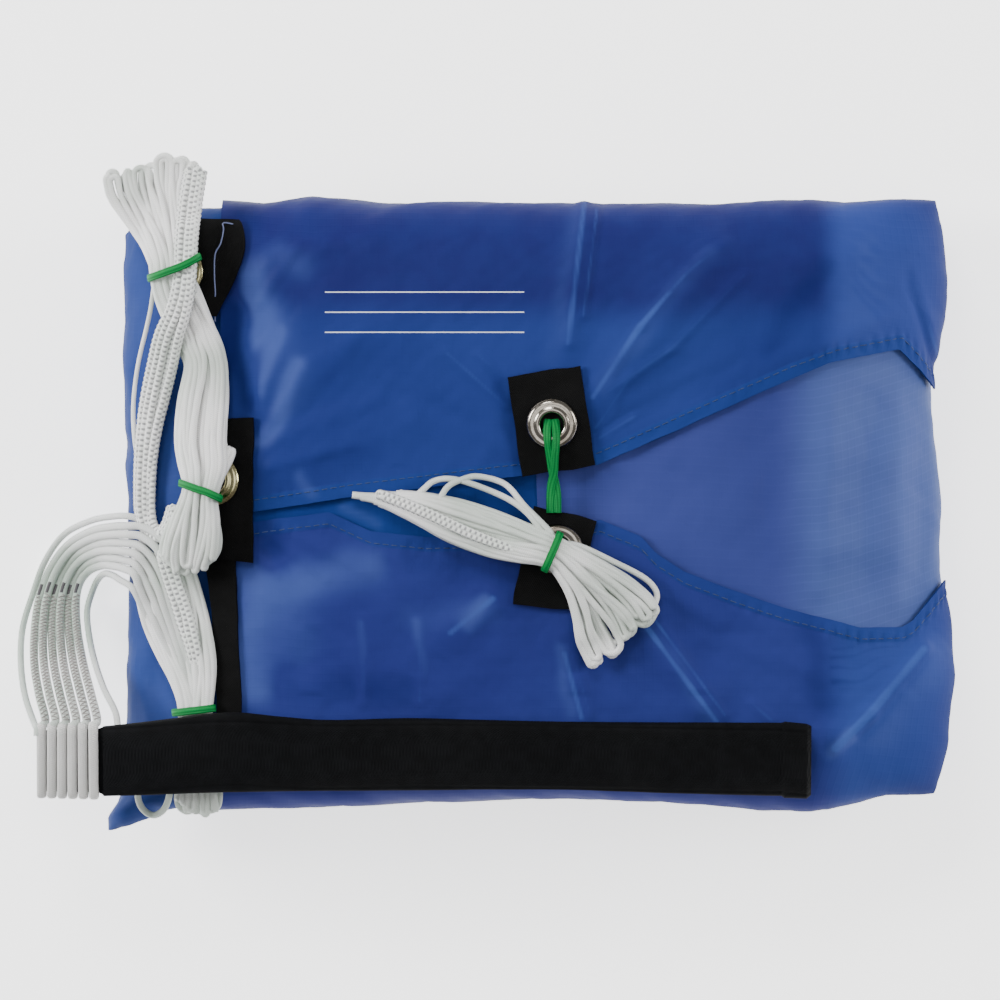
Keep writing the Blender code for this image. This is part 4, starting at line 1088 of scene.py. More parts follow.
@dataclass
class ContainerCloths:
    """The filled body, its two leaves, its two flaps and their hem stitches."""

    wall: float = 0.7
    flap_depth: float = 0.95
    leaf_depth: float = 2.95
    body_depth: float = 4.0
    flap_ends: tuple[float, float] = (-44.0, 81.0)
    leaf_wrap: float = 119.0
    leaf_up: float = 66.0
    flap_wrap: float = 114.0
    hem: float = 5.4
    stitch_at: float = 4.2
    stitch_step: float = 3.1
    # Widest of the creases that get a painted highlight along their ridge, and the place across from which that
    # is so
    crisp: float = 2.6
    soft_side: float = -70.0
    top_free: Rows = (
        (-113, -4.6), (-104.8, -4.9), (-63.4, 1.4), (-5.8, 8.6), (22.7, 12.6), (50.8, 24.8), (76.7, 36.7),
        (92.2, 43.6), (105.8, 49.3), (124.9, 53.3), (130.7, 54.4), (138.6, 46.5), (150, 33))
    bottom_free: Rows = (
        (-113, -8.2), (-100, -7.9), (-73.4, -4.3), (-58.3, -11.2), (-37.8, -13.3), (-6.8, -12.6),
        (23.8, -7.2), (38.2, -13), (43.6, -19.1), (53.6, -25.6), (69.5, -31.7), (88.9, -38.5),
        (104.4, -42.5), (116.3, -45.7), (131.8, -45.7), (135.7, -43.6), (150, -26))
    # Places that carry something, where no fold rises: left, right, low, high
    carried: Rows = ((-14, 26, -44, 52), (-200, -98, -200, 200), (-66, 48, -62, 12), (-200, 104, -200, -70))

    def free(self, x: np.ndarray, y: np.ndarray) -> np.ndarray:
        """From 0 where something lies on the cloth to 1 where it is free."""
        share = np.ones(np.shape(x))
        for left, right, low, high in self.carried:
            away = np.maximum(np.maximum(left - x, x - right), np.maximum(low - y, y - high))
            share = share * np.clip(away / 7.0, 0, 1)
        return share

    def outward(self, grid: np.ndarray) -> np.ndarray:
        """Outward directions of a grid of points."""
        normal = unit(np.cross(np.gradient(grid, axis=1), np.gradient(grid, axis=0)))
        middle = np.array((0.0, 0.0, 20.0))
        return normal if np.sum(normal * (grid - middle)) > 0 else -normal

    def fold_map(self, grid: np.ndarray, creases: Rows, sheens: Rows) -> np.ndarray:
        """How much painted highlight each point gets along the ridges of narrow creases, and how much painted
        sheen and shade, as a map.

        Args:
            grid: The cloth's points.
            creases: Rows of from x, y to x, y, rise and half width.
            sheens: Rows of painted sheen (share above 0) and painted shade (share below 0): from x, y to x, y,
                share and half width.

        Returns:
            Painted highlight share and painted sheen and shade share of each point.
        """
        x, y, z = (grid[..., i] for i in range(3))
        crest_highlight, light = np.zeros(x.shape), np.zeros(x.shape)
        # Painted highlight along the ridges of the narrow creases that rise outwards, on the upper parts only
        for row in creases:
            if row[4] > 0 and row[5] <= self.crisp and row[0] > self.soft_side:
                crest_highlight = np.maximum(crest_highlight, FORM.felt(x, y, (*row[:5], row[5] * 0.62)))
        crest_highlight = crest_highlight * np.clip((z - 24.0) / 14.0, 0, 1) * (0.85 + 0.2 * ripple(x, y, 77, 12.0, 40.0))
        bent_x, bent_y = x + 1.6 * ripple(x, y, 78, 14.0, 40.0), y + 1.6 * ripple(x, y, 79, 14.0, 40.0)
        # Painted sheen and painted shade of the broad patches
        for row in sheens:
            light = light + FORM.felt(bent_x, bent_y, row)
        light = light * (0.95 + 0.12 * ripple(x, y, 80, 12.0, 40.0))
        return np.stack((crest_highlight, light), axis=-1)

    def folded(self, grid: np.ndarray, creases: Rows, seed: int, uneven: float,
               covered: np.ndarray) -> np.ndarray:
        """The grid moved along its normals by the finer creases and by small unevenness.

        Args:
            grid: The cloth's points.
            creases: Rows of from x, y to x, y, rise and half width.
            seed: Which small waves.
            uneven: Their size.
            covered: How free each point is, from 0 to 1.

        Returns:
            The moved grid.
        """
        x, y, z = (grid[..., i] for i in range(3))
        move = np.zeros(x.shape)
        for row in creases:
            move = move + FORM.felt(x, y, row)
        move = move * np.clip((z - 20.0) / 12.0, 0, 1)
        move = move + uneven * ripple(x + 0.8 * z, y + 0.5 * z, seed, 14.0, 46.0)
        move = move + 0.25 * uneven * ripple(x + 0.6 * z, y - 0.7 * z, seed + 1, 5.0, 11.0)
        move = np.clip(move, -0.8, 0.35 + 1.6 * covered)
        move = move * np.clip(z / 6.0, 0, 1)
        return grid + self.outward(grid) * move[..., None]

    def body(self) -> bpy.types.Object:
        """The filled body and back panel, flat where it rests."""
        across = FORM.even_angles(None, -90, 90, 110, self.body_depth, Cloth.BODY)
        upward = FORM.even_angles(0.0, -90, 90, 80, self.body_depth, Cloth.BODY)
        a, b = np.meshgrid(across, upward)
        p, rise_p = FORM.rounded(a, FORM.end_power)
        q, rise_q = FORM.rounded(b, FORM.side_power)
        left, right, bottom, top = FORM.edges(p, q, self.body_depth)
        x = left + (right - left) * (p + 1) / 2
        y = bottom + (top - bottom) * (q + 1) / 2
        up = rise_p * rise_q
        up[0], up[-1], up[:, 0], up[:, -1] = 0, 0, 0, 0
        halves = []
        for sign in (1, -1):
            z = FORM.height(x, y, sign * up, self.body_depth, Cloth.BODY)
            grid = np.stack((x, y, z), axis=-1)
            bpy.ops.object.select_all(action="DESELECT")
            bpy.ops.mesh.primitive_grid_add(x_subdivisions=109, y_subdivisions=79, size=1)
            half = bpy.context.active_object
            half.data.vertices.foreach_set("co", (grid.reshape(-1, 3) * MM).astype(np.float32).ravel())
            corners = np.empty(len(half.data.loops), np.int32)
            half.data.loops.foreach_get("vertex_index", corners)
            half.data.uv_layers[0].name = "Flat"
            places = flat_places(grid).reshape(-1, 2)[corners]
            half.data.uv_layers[0].data.foreach_set("uv", places.astype(np.float32).ravel())
            halves.append(half)
        bpy.ops.object.select_all(action="DESELECT")
        for half in halves:
            half.select_set(True)
        bpy.context.view_layer.objects.active = halves[0]
        bpy.ops.object.join()
        body = halves[0]
        body.name = body.data.name = "container_body"
        bpy.ops.object.mode_set(mode="EDIT")
        bpy.ops.mesh.select_all(action="SELECT")
        bpy.ops.mesh.remove_doubles(threshold=0.00002)
        bpy.ops.mesh.normals_make_consistent(inside=False)
        bpy.ops.object.mode_set(mode="OBJECT")
        smooth_shade(body, 50)
        Dresser.dress(body, Finish.BODY, "canopy_cloth", ("pack_body",))
        return body

    def leaf(self, name: str, node: str, first: float, last: float, seed: int) -> bpy.types.Object:
        """One leaf, from near the middle round the rim to the back.

        Args:
            name: The piece's name.
            node: The solid that it stands for.
            first: Where it starts.
            last: Where it ends.
            seed: Which small waves.

        Returns:
            The finished piece.
        """
        across = FORM.even_angles(None, first, last, 140, self.leaf_depth, Cloth.LEAF)
        upward = FORM.even_angles(0.0, -self.leaf_up, self.leaf_up, 120, self.leaf_depth, Cloth.LEAF)
        a, b = np.meshgrid(across, upward)
        grid = FORM.points(a, b, self.leaf_depth, Cloth.LEAF)
        x, y = grid[..., 0], grid[..., 1]
        over = np.interp(x, [r[0] for r in self.top_free], [r[1] for r in self.top_free])
        under = np.interp(x, [r[0] for r in self.bottom_free], [r[1] for r in self.bottom_free])
        shown = np.clip((over - 2 - y) / 5, 0, 1) * np.clip((y - under - 2) / 5, 0, 1)
        shown = np.where(x < -108, 1.0, shown)
        shown = shown * np.where(x < 0, np.where(x < -143, 1.0, 0.35), 1.0)
        grid = self.folded(grid, FORM.leaf_creases, seed, 0.45, shown)
        piece = woven(name, grid, self.wall, flat_places(grid),
                      fold_map=self.fold_map(grid, FORM.leaf_creases, FORM.leaf_sheen_and_shade))
        Dresser.dress(piece, Finish.LEFT_LEAF if last < self.leaf_wrap else Finish.LEAF, "side_cloth",
                      (node,))
        return piece

    def flap_grid(self, free_edge: Rows, sign: int) -> tuple[np.ndarray, np.ndarray, np.ndarray]:
        """Points of a flap from its free edge round the rim, with both its maps.

        Args:
            free_edge: Places along the free edge.
            sign: 1 upwards, -1 downwards.

        Returns:
            The points, and flat and hem places.
        """
        across = FORM.even_angles(None, *self.flap_ends, 240, self.flap_depth, Cloth.FLAP)
        p, _ = FORM.rounded(across, FORM.end_power)
        q = np.zeros(len(across))
        xs, ys = [r[0] for r in free_edge], [r[1] for r in free_edge]
        for _ in range(10):
            left, right, bottom, top = FORM.edges(p, q, self.flap_depth)
            x = left + (right - left) * (p + 1) / 2
            q = 2 * (np.interp(x, xs, ys) - bottom) / (top - bottom) - 1
        start = np.degrees(np.arctan2(q, FORM.rise_of(q, FORM.side_power)))
        columns, flat, edge = [], [], []
        base = FORM.points(across, np.zeros(len(across)), self.flap_depth, Cloth.FLAP)
        along = walk_of(base)
        for i, a in enumerate(across):
            fine = np.linspace(start[i], sign * self.flap_wrap, 260)
            line = FORM.points(np.full(260, a), fine, self.flap_depth, Cloth.FLAP)
            walk = walk_of(line)
            knee = walk[-1] - 62.0
            away = np.concatenate((np.linspace(0, self.hem + 0.8, 12),
                                   np.linspace(self.hem + 1.9, knee, 110),
                                   np.linspace(knee + 2.5, walk[-1], 24)))
            angles = np.interp(away, walk, fine)
            count = len(away)
            columns.append(FORM.points(np.full(count, a), angles, self.flap_depth, Cloth.FLAP))
            flat.append(np.stack((np.full(count, along[i]), base[i, 1] + sign * away + columns[-1][0, 1]),
                                 axis=1) / 10)
            edge.append(np.stack((np.full(count, along[i]), away), axis=1) / 10)
        return tuple(np.stack(part, axis=1) for part in (columns, flat, edge))

    def flap(self, name: str, node: str, free_edge: Rows, sign: int, finish: Finish,
             seed: int) -> bpy.types.Object:
        """One flap with its doubled, puckered hem and its row of stitches.

        Args:
            name: The piece's name.
            node: The solid that it stands for.
            free_edge: Places along the free edge.
            sign: 1 upwards, -1 downwards.
            finish: Its finish.
            seed: Which small waves.

        Returns:
            The finished piece.
        """
        grid, flat, edge = self.flap_grid(free_edge, sign)
        grid = self.folded(grid, FORM.flap_creases, seed, 0.4, self.free(grid[..., 0], grid[..., 1]))
        along, away = edge[..., 0] * 10, edge[..., 1] * 10
        free = np.maximum(self.free(grid[..., 0], grid[..., 1]), 0.25)
        doubled = 0.3 * np.clip((self.hem - away) / 0.6, 0, 1)
        pucker = 0.5 * np.sin(2 * np.pi * along / 4.6 + 2.2 * ripple(along, away, 5, 20, 60) + 0.35 * away)
        pucker = pucker * np.exp(-(((away - 4.2) / 2.6) ** 2)) * (0.55 + 0.5 * ripple(along, along * 0, 9,
                                                                                      12, 40))
        normal = self.outward(grid)
        grid = grid + normal * ((doubled + pucker) * free)[..., None]
        piece = woven(name, grid, self.wall, flat, edge,
                      self.fold_map(grid, FORM.flap_creases, FORM.flap_sheen_and_shade))
        Dresser.dress(piece, finish, "canopy_cloth", (node,))
        stitches = self.stitches(f"{name}_stitches", grid + normal * self.wall, along, away)
        return piece

    def stitches(self, name: str, skin: np.ndarray, along: np.ndarray, away: np.ndarray) -> bpy.types.Object:
        """A row of short stitches sunk in the hem.

        Args:
            name: The piece's name.
            skin: What the surface is added to or sewn on.
            along: Distance along the hem.
            away: Distance from the free edge.

        Returns:
            The finished piece.
        """
        columns = skin.shape[1]
        line = np.stack([np.array([np.interp(self.stitch_at, away[:, i], skin[:, i, k]) for k in range(3)])
                         for i in range(columns)])
        walk = along[0]
        out = Skin()
        for start in np.arange(2.0, walk[-1] - 3.0, self.stitch_step):
            at = start + np.linspace(0, self.stitch_step * 0.68, 4)
            path = read_along(at, walk, line)
            path[:, 2] += np.array((-0.12, 0.1, 0.1, -0.12))
            out.tube(path, 0.42, 0.36, (0, 0, 1), sides=6)
        return Dresser.dress(out.piece(name), Finish.TEAL_THREAD, "canopy_cloth")

    def build(self) -> None:
        """Every cloth of the container."""
        self.body()
        self.leaf("left_leaf_cloth", "left_leaf", -self.leaf_wrap, 0.4, 21)
        self.leaf("right_leaf_cloth", "right_leaf", 0.4, self.leaf_wrap, 22)
        self.flap("top_flap_cloth", "top_flap", self.top_free, 1, Finish.TOP, 23)
        self.flap("bottom_flap_cloth", "bottom_flap", self.bottom_free, -1, Finish.BOTTOM, 24)


# Tabs, strip and eyelets


@dataclass
class Tabs:
    """Black tabs, the black strip at the flaps' left ends, and the eyelets."""

    lift: float = 0.9
    wall: float = 1.1
    seat: float = 1.2
    # Corners clockwise from the upper left, the eyelet's middle, its seat over the tab
    places: dict = field(default_factory=lambda: {
        "upper_middle": (((-9.4, 43.9), (16.6, 48.2), (22.0, 12.6), (-4.3, 8.3)), (6.3, 27.1), 0.8,
                         Finish.NICKEL),
        "lower_middle": (((-0.4, -2.0), (22.0, -7.5), (15.5, -39.6), (-7.9, -37.2)), (8.4, -17.6), 0.6,
                         Finish.NICKEL),
        "upper_left": (((-137.0, 102.0), (-105.6, 100.0), (-114.0, 66.0), (-127.0, 68.0)), (-127.0, 81.7),
                       0.4, Finish.BRASS),
        "middle_left": (((-124.5, 29.0), (-100.4, 29.5), (-100.8, -22.6), (-124.5, -19.0)), (-114.4, 7.2),
                        0.6, Finish.BRASS),
    })
    strip: Rows = (
        (-16, -118, -105.8), (-20, -117.6, -106.4), (-24.2, -117.2, -106.8), (-36, -115.8, -106.4),
        (-50, -114.4, -105.8), (-64, -113.8, -105), (-80, -113.4, -104.8), (-97, -113.2, -104.6))
    thread: Rows = (
        (-108, 99, 2.3), (-111.6, 99.4, 2.4), (-111.4, 97, 2.4), (-112.4, 92, 2.4), (-114.4, 88, 2.3),
        (-114.6, 80, 2.3), (-114.3, 74.6, 2.3), (-114.4, 70.4, 1), (-114.4, 64, 0.5))
    # Turned section of an eyelet: radius and height
    ring: Rows = (
        (4.2, 0.1), (4.15, 0.9), (4.5, 1.45), (5.1, 1.75), (5.8, 1.6), (6.3, 1.2), (6.7, 1.05), (7.3, 1.2),
        (8, 1.15), (8.6, 0.75), (9, 0.25), (8.85, 0.1))
    turns: int = 56

    def patch(self, name: str, corners: tuple, seed: int, bulge: float) -> bpy.types.Object:
        """A four-cornered black cloth, its edges a little wavy and its right edge bulged.

        Args:
            name: The piece's name.
            corners: Its four corners.
            seed: Which small waves.
            bulge: How far its right edge stands out.

        Returns:
            The finished piece.
        """
        a, b, c, d = (np.array(corner, float) for corner in corners)
        s, t = np.meshgrid(np.linspace(0, 1, 27), np.linspace(0, 1, 33))
        s, t = s[..., None], t[..., None]
        flat = (a * (1 - s) + b * s) * (1 - t) + (d * (1 - s) + c * s) * t
        rim = np.maximum(np.abs(s - 0.5), np.abs(t - 0.5))[..., 0] * 2
        x = flat[..., 0] + 0.35 * ripple(flat[..., 1], flat[..., 0] * 0, seed, 9, 30) * rim
        y = flat[..., 1] + 0.35 * ripple(flat[..., 0], flat[..., 1] * 0, seed + 1, 9, 30) * rim
        x = x + bulge * s[..., 0] * np.sin(np.pi * t[..., 0] ** 0.7)
        wave = 0.12 * ripple(x, y, seed + 2, 10, 30)
        grid, _ = FORM.lay(x, y, self.lift + wave)
        return woven(name, grid, self.wall, flat_places(grid))

    def eyelet(self, name: str, node: str, middle: tuple[float, float], seat: float, finish: Finish,
               slot: str) -> bpy.types.Object:
        """A turned metal ring: its section is spun round the tab's normal.

        Args:
            name: The piece's name.
            node: The solid that it stands for.
            middle: Its middle.
            seat: Its height over the tab.
            finish: Its finish.
            slot: The record's material slot.

        Returns:
            The finished piece.
        """
        spot, normal = FORM.lay(np.array(middle[0]), np.array(middle[1]), self.lift + self.seat + seat)
        side = unit(np.cross(normal, (0.0, 1.0, 0.0)))
        section = [spot + side * r + normal * h for r, h in self.ring]
        mesh = bpy.data.meshes.new(name)
        count = len(section)
        mesh.from_pydata([tuple(p * MM) for p in section], [(i, (i + 1) % count) for i in range(count)], [])
        ring = bpy.data.objects.new(name, mesh)
        bpy.context.scene.collection.objects.link(ring)
        only(ring)
        bpy.ops.object.mode_set(mode="EDIT")
        bpy.ops.mesh.select_all(action="SELECT")
        bpy.ops.mesh.spin(steps=self.turns, angle=2 * math.pi, center=tuple(spot * MM), axis=tuple(normal))
        bpy.ops.mesh.select_all(action="SELECT")
        bpy.ops.mesh.remove_doubles(threshold=0.00002)
        bpy.ops.mesh.normals_make_consistent(inside=False)
        bpy.ops.object.mode_set(mode="OBJECT")
        smooth_shade(ring, 60)
        return Dresser.dress(ring, finish, slot, (node,))

    def build(self) -> None:
        """Every tab, the strip and the eyelets."""
        for k, (name, (corners, middle, seat, finish)) in enumerate(self.places.items()):
            tab = self.patch(f"{name}_tab_cloth", corners, 40 + 3 * k, 4.4 if name == "upper_left" else 0.0)
            Dresser.dress(tab, Finish.BLACK, "black_webbing", (f"tab_{name}",))
            self.eyelet(f"{name}_eyelet_ring", f"eyelet_{name}", middle, seat, finish,
                        "nickel" if finish is Finish.NICKEL else "worn_brass")
        thread = even_path(np.array(self.thread), 60, False)
        path, _ = FORM.lay(thread[:, 0], thread[:, 1], thread[:, 2])
        skin = Skin()
        skin.tube(path, 0.45, 0.35, (0, 0, 1), sides=6)
        Dresser.dress(skin.piece("tab_thread"), Finish.PALE_THREAD, "black_webbing")
        rows = even_path(np.array(self.strip), 90, False)
        t = np.linspace(0, 1, 12)
        x = rows[:, 1:2] + (rows[:, 2:3] - rows[:, 1:2]) * t[None, :]
        y = np.broadcast_to(rows[:, :1], x.shape)
        x = x + 0.25 * ripple(y, x * 0, 61, 10, 40)
        under = np.clip((y + 23.5) / 3.0, 0, 1)
        grid, _ = FORM.lay(x, y, self.lift * (1 - under) + 0.1 * ripple(x, y, 62, 8, 26) * (1 - under))
        piece = woven("left_edge_strip", grid, self.wall, flat_places(grid))
        Dresser.dress(piece, Finish.BLACK, "black_webbing", ("edge_strip",))


# Stowed lines


@dataclass
class Bundle:
    """Lines stowed side by side along a course, turning back in loops at its ends."""

    course: Rows
    strands: int
    seed: int
    size: float = 2.4
    start_reach: Rows = ((-1, 0), (1, 0))
    end_reach: Rows = ((-1, 0), (1, 0))
    drift: float = 0.16
    clear: float = 0.4
    step: float = 2.4
    bead: float = 0.0
    bead_step: float = 2.0
    inner: int = 8
    uneven: float = 1.1
    core_share: float = 0.62

    def __post_init__(self) -> None:
        """Lays out fine stations along the course."""
        self.fine = even_path(np.array(self.course, float), 220, False)
        steps = np.linalg.norm(np.diff(self.fine[:, :2], axis=0), axis=1)
        self.walk = np.concatenate(([0.0], np.cumsum(steps)))
        self.length = float(self.walk[-1])

    def column(self, at: np.ndarray, index: int) -> np.ndarray:
        """A column of the course at distances along it."""
        return np.interp(at, self.walk, self.fine[:, index])

    def spot(self, at: np.ndarray, side: np.ndarray, high: np.ndarray) -> tuple[np.ndarray, np.ndarray]:
        """Points at distances along, to the side of and above the bundle's middle, with normals.

        Args:
            at: Places along the hank.
            side: Places across the hank.
            high: Heights over its bed.

        Returns:
            Points and normals.
        """
        at, side, high = np.broadcast_arrays(np.asarray(at, float), side, high)
        inside = np.clip(at, 0, self.length)
        run = unit(np.stack([self.column(np.clip(inside + 0.8, 0, self.length), i)
                             - self.column(np.clip(inside - 0.8, 0, self.length), i) for i in (0, 1)],
                             axis=-1))
        x = self.column(inside, 0) + run[..., 0] * (at - inside) + run[..., 1] * side
        y = self.column(inside, 1) + run[..., 1] * (at - inside) - run[..., 0] * side
        return FORM.lay(x, y, self.clear + self.column(inside, 4) + self.column(inside, 3) + high)

    def section(self, at: np.ndarray, turn: np.ndarray, radius: np.ndarray) -> tuple[np.ndarray, np.ndarray]:
        """Places to the side and above the middle, at an angle round the bundle."""
        half = np.maximum(self.column(at, 2) - self.size / 2, 0.4)
        thick = np.maximum(self.column(at, 3) - self.size / 2, 0.3)
        c, s = np.cos(turn), np.sin(turn)
        return (half * radius * np.sign(c) * np.abs(c) ** 0.8,
                thick * radius * np.sign(s) * np.abs(s) ** 0.8)

    def loops(self, skin: Skin) -> None:
        """Adds every loop: out along one strand, round, and back along the next.

        Args:
            skin: What the surface is added to or sewn on.
        """
        chance = np.random.default_rng(self.seed)
        turns = (np.arange(self.strands) + 0.5) / self.strands * 2 * np.pi
        facts = [(turn, 0.97, *chance.uniform(0, 6.28, 2), *chance.uniform(0.7, 1.5, 2)) for turn in turns]
        turns = (np.arange(self.inner) + 0.5) / max(self.inner, 1) * 2 * np.pi
        facts += [(turn, 0.52, *chance.uniform(0, 6.28, 2), *chance.uniform(0.7, 1.5, 2)) for turn in turns]
        count = max(24, int(self.length / self.step))
        for k in range(0, len(facts) - 1, 2):
            ends = chance.uniform(-self.uneven, self.uneven, 2)
            pair = []
            for turn, out, first, second, pace, other in facts[k:k + 2]:
                at = np.linspace(0, 1, count)
                angle = turn + self.drift * (np.sin(2 * np.pi * pace * at + first)
                                             + 0.5 * np.sin(4 * np.pi * other * at + second))
                radius = out + 0.06 * np.sin(5.0 * at + second)
                pair.append((angle, radius))
            middle = math.cos((facts[k][0] + facts[k + 1][0]) / 2)
            begin = -float(np.interp(middle, *zip(*self.start_reach))) + ends[0]
            finish = self.length + float(np.interp(middle, *zip(*self.end_reach))) + ends[1]
            at = np.linspace(begin, finish, count)
            sides = [self.section(np.clip(at, 0, self.length), angle, radius) for angle, radius in pair]
            bend = np.linspace(0, np.pi, 8)[1:-1]
            (s0, h0), (s1, h1) = sides
            rows = [np.stack((at, s0, h0), axis=1)]
            for index, outer, (sa, ha), (sb, hb) in ((-1, finish, sides[0], sides[1]),
                                                     (0, begin, sides[1], sides[0])):
                sway = (1 - np.cos(bend)) / 2
                reach = max(1.3, 0.5 * math.hypot(sb[index] - sa[index], hb[index] - ha[index]))
                rows.append(np.stack((outer + (reach if index else -reach) * np.sin(bend),
                                      sa[index] + (sb[index] - sa[index]) * sway,
                                      ha[index] + (hb[index] - ha[index]) * sway), axis=1))
                if index:
                    rows.append(np.stack((at, s1, h1), axis=1)[::-1])
            place = np.vstack(rows)
            path, _ = self.spot(place[:, 0], place[:, 1], place[:, 2])
            if self.bead:
                path = even_path(path, int(length_of(path) / 0.5))
            walk = walk_of(path)
            wave = 1 + self.bead * np.sin(2 * np.pi * walk / self.bead_step)
            size = self.size * (1 + chance.uniform(-0.05, 0.05)) * wave * np.ones(len(path))
            skin.tube(path, size, size * 0.94, (0.02, 0.03, 1.0), sides=8, closed=True)

    def core(self, skin: Skin, first: float = 0.12, last: float = 0.9) -> None:
        """Adds the body of lines that lies under the outer ones.

        Args:
            skin: What the surface is added to or sewn on.
            first: Where it starts.
            last: Where it ends.
        """
        at = np.linspace(first, last, 40) * self.length
        path, normal = self.spot(at, 0.0, 0.0)
        wide = np.maximum(self.column(at, 2) - self.size * 0.6, 0.4) * 2 * self.core_share
        thick = np.maximum(self.column(at, 3) - self.size * 0.6, 0.4) * 2 * self.core_share
        taper = np.clip(np.minimum(np.linspace(0, 8, 40), np.linspace(8, 0, 40)) + 0.25, 0, 1)
        skin.tube(path, wide * taper, thick * taper, normal, sides=16, power=0.8)

    def band(self, skin: Skin, column: int, place: float, lean: float, wide: float = 2.8, thick: float = 1.1,
             clear: float = 0.5) -> None:
        """Adds an elastic band round the bundle at a place, leaning by some degrees.

        Args:
            skin: What the surface is added to or sewn on.
            column: Which column of the hank's table.
            place: Where along the hank.
            lean: Slant, in degrees.
            wide: Width.
            thick: Thickness.
            clear: Gap to the hank.
        """
        nearest = int(np.argmin(np.abs(self.fine[:, column] - place)))
        turn = np.linspace(0, 2 * np.pi, 48, endpoint=False)
        half, deep = self.fine[nearest, 2], self.fine[nearest, 3]
        slide = self.walk[nearest] + half * np.cos(turn) * math.tan(math.radians(lean))
        grow = clear + thick / 2
        side = (half + grow) * np.sign(np.cos(turn)) * np.abs(np.cos(turn)) ** 0.8
        high = (deep + grow) * np.sign(np.sin(turn)) * np.abs(np.sin(turn)) ** 0.8
        path, _ = self.spot(slide, side, high)
        inner, _ = self.spot(slide, side * 0.5, high * 0.5)
        skin.tube(path, wide, thick, unit(path - inner), sides=10, closed=True, power=0.55)


@dataclass
class StowedLines:
    """The hanks, the coarse braid and their elastic bands."""

    # Courses: middle x, y, half width, half thickness and lift over the cloth
    left: Rows = (
        (-137.6, 117.6, 17.6, 2.2, 3.2), (-137.4, 113, 17, 2.9, 3.2), (-136.2, 108, 15, 3.4, 3.6),
        (-134.4, 101.6, 12.4, 4, 4.2), (-132.2, 93.6, 9.6, 4.6, 5), (-130.5, 86, 8.1, 4.9, 5.6),
        (-130.2, 82.8, 7.9, 5, 5.8), (-129.6, 78.6, 8, 4.9, 5.6), (-127.6, 73.2, 8.6, 4.4, 4.4),
        (-124.6, 66, 8.4, 4, 3), (-120.6, 57, 7.8, 4, 1.6), (-117.6, 48, 7.8, 4.4, 1),
        (-118.9, 34.2, 9.2, 4.6, 1.6), (-119.6, 21.6, 9.6, 4.6, 3.4), (-118.6, 12.6, 9.2, 4.8, 5),
        (-118.9, 7, 7.6, 4.9, 6.4), (-119.3, 3.6, 6.8, 4.9, 6.6), (-119.9, 0.2, 7, 4.9, 6.6),
        (-121, -7.2, 9, 4.8, 6.4), (-122.6, -15.4, 10.2, 4.4, 7.2), (-123.5, -20.6, 9.9, 3.8, 7.4),
        (-123.8, -24, 8.4, 2.6, 7.6))
    braid: Rows = (
        (-121.6, 117, 4.4, 1.9, 5), (-123.4, 106, 4.6, 2.2, 7.6), (-124.6, 94, 4.6, 2.3, 10.2),
        (-125, 83, 4.6, 2.3, 11.8), (-125.8, 74, 4.8, 2.3, 11.9), (-127.8, 66, 5.2, 2.4, 10.6),
        (-130.8, 58, 5.8, 2.8, 7), (-133.4, 47, 5.9, 3, 2.4), (-136, 36, 5.6, 3.2, -0.4),
        (-137.9, 26.6, 5, 3.3, -1.7), (-139.3, 15.8, 4.5, 3.2, -1.8), (-139.9, 4, 4.2, 3.2, -1.8),
        (-139.7, -4.5, 4, 3.1, -1.6), (-137.9, -10.4, 3.6, 3, -1), (-134.2, -12.6, 3.3, 3, -0.2),
        (-131, -9.6, 3.3, 2.8, 0.6), (-129.3, -4.4, 3.2, 2.6, 0.8))
    lower: Rows = (
        (-131, -17.4, 5.4, 2.2, 0.2), (-128.8, -25, 6.8, 2.9, -0.6), (-125.6, -36, 7.2, 3.2, -0.8),
        (-122.4, -47, 6.8, 3.4, -0.8), (-119.6, -58, 5.8, 3.3, -0.2), (-119, -67, 4.9, 3, 0.4),
        (-119.4, -76, 4.4, 2.8, 0.8), (-120, -90, 4.8, 2.8, 0.8), (-119.8, -102, 6, 2.4, 0.8),
        (-119.6, -110.6, 6.8, 2, 0.8))
    joining: Rows = (
        (-141.4, -17.6, 3.4, 2.2, -1.6), (-140.4, -24, 4.4, 2.8, -1.6), (-138.6, -33, 5, 3.1, -1.6),
        (-135.8, -44, 5, 3.3, -1.2), (-131.8, -54, 4.6, 3.4, -0.4), (-127.4, -63.6, 4, 3.1, 0.2),
        (-124.6, -73, 3.6, 2.8, 0.8), (-124.2, -84, 3.6, 2.8, 0.8), (-124.6, -96, 3.8, 2.4, 0.8),
        (-125.4, -106.6, 4, 2, 0.8))
    lower_braid: Rows = (
        (-132.4, -20, 3.4, 1.5, 4.6), (-129, -31, 3.6, 1.6, 5), (-125.4, -42, 3.6, 1.6, 5.2),
        (-122.2, -53, 3, 1.6, 4.4), (-120.4, -63, 2.4, 1.4, 1.4))
    centre: Rows = (
        (-63.4, 1.6, 1.6, 1.3, 0.4), (-53.6, 0.4, 3.4, 2, 0.4), (-41, -2.9, 6.2, 3.2, 0.4),
        (-28.4, -7.6, 8.3, 4.1, 0.6), (-15.8, -11.9, 8.6, 4.6, 1.6), (-5, -15, 7.6, 4.9, 3.6),
        (2.4, -17, 6.5, 5, 5.2), (6.6, -18.6, 6.2, 5, 5.4), (11, -21.4, 6.8, 4.9, 5.2),
        (18.6, -28.2, 9.8, 4.3, 4.2), (24.7, -35.4, 13.4, 3.7, 3.2), (29, -42, 16.2, 3.2, 2.2),
        (31.4, -46.6, 16.6, 2.4, 1.6))
    centre_braid: Rows = (
        (-54, 1.6, 2, 1.4, 3.2), (-44, -2.2, 2.2, 1.5, 5.4), (-34, -6.6, 2.2, 1.5, 7),
        (-23, -11.8, 2.2, 1.5, 8.4), (-12, -16, 2, 1.5, 9.4), (0, -19.4, 1.6, 1.3, 9.6))
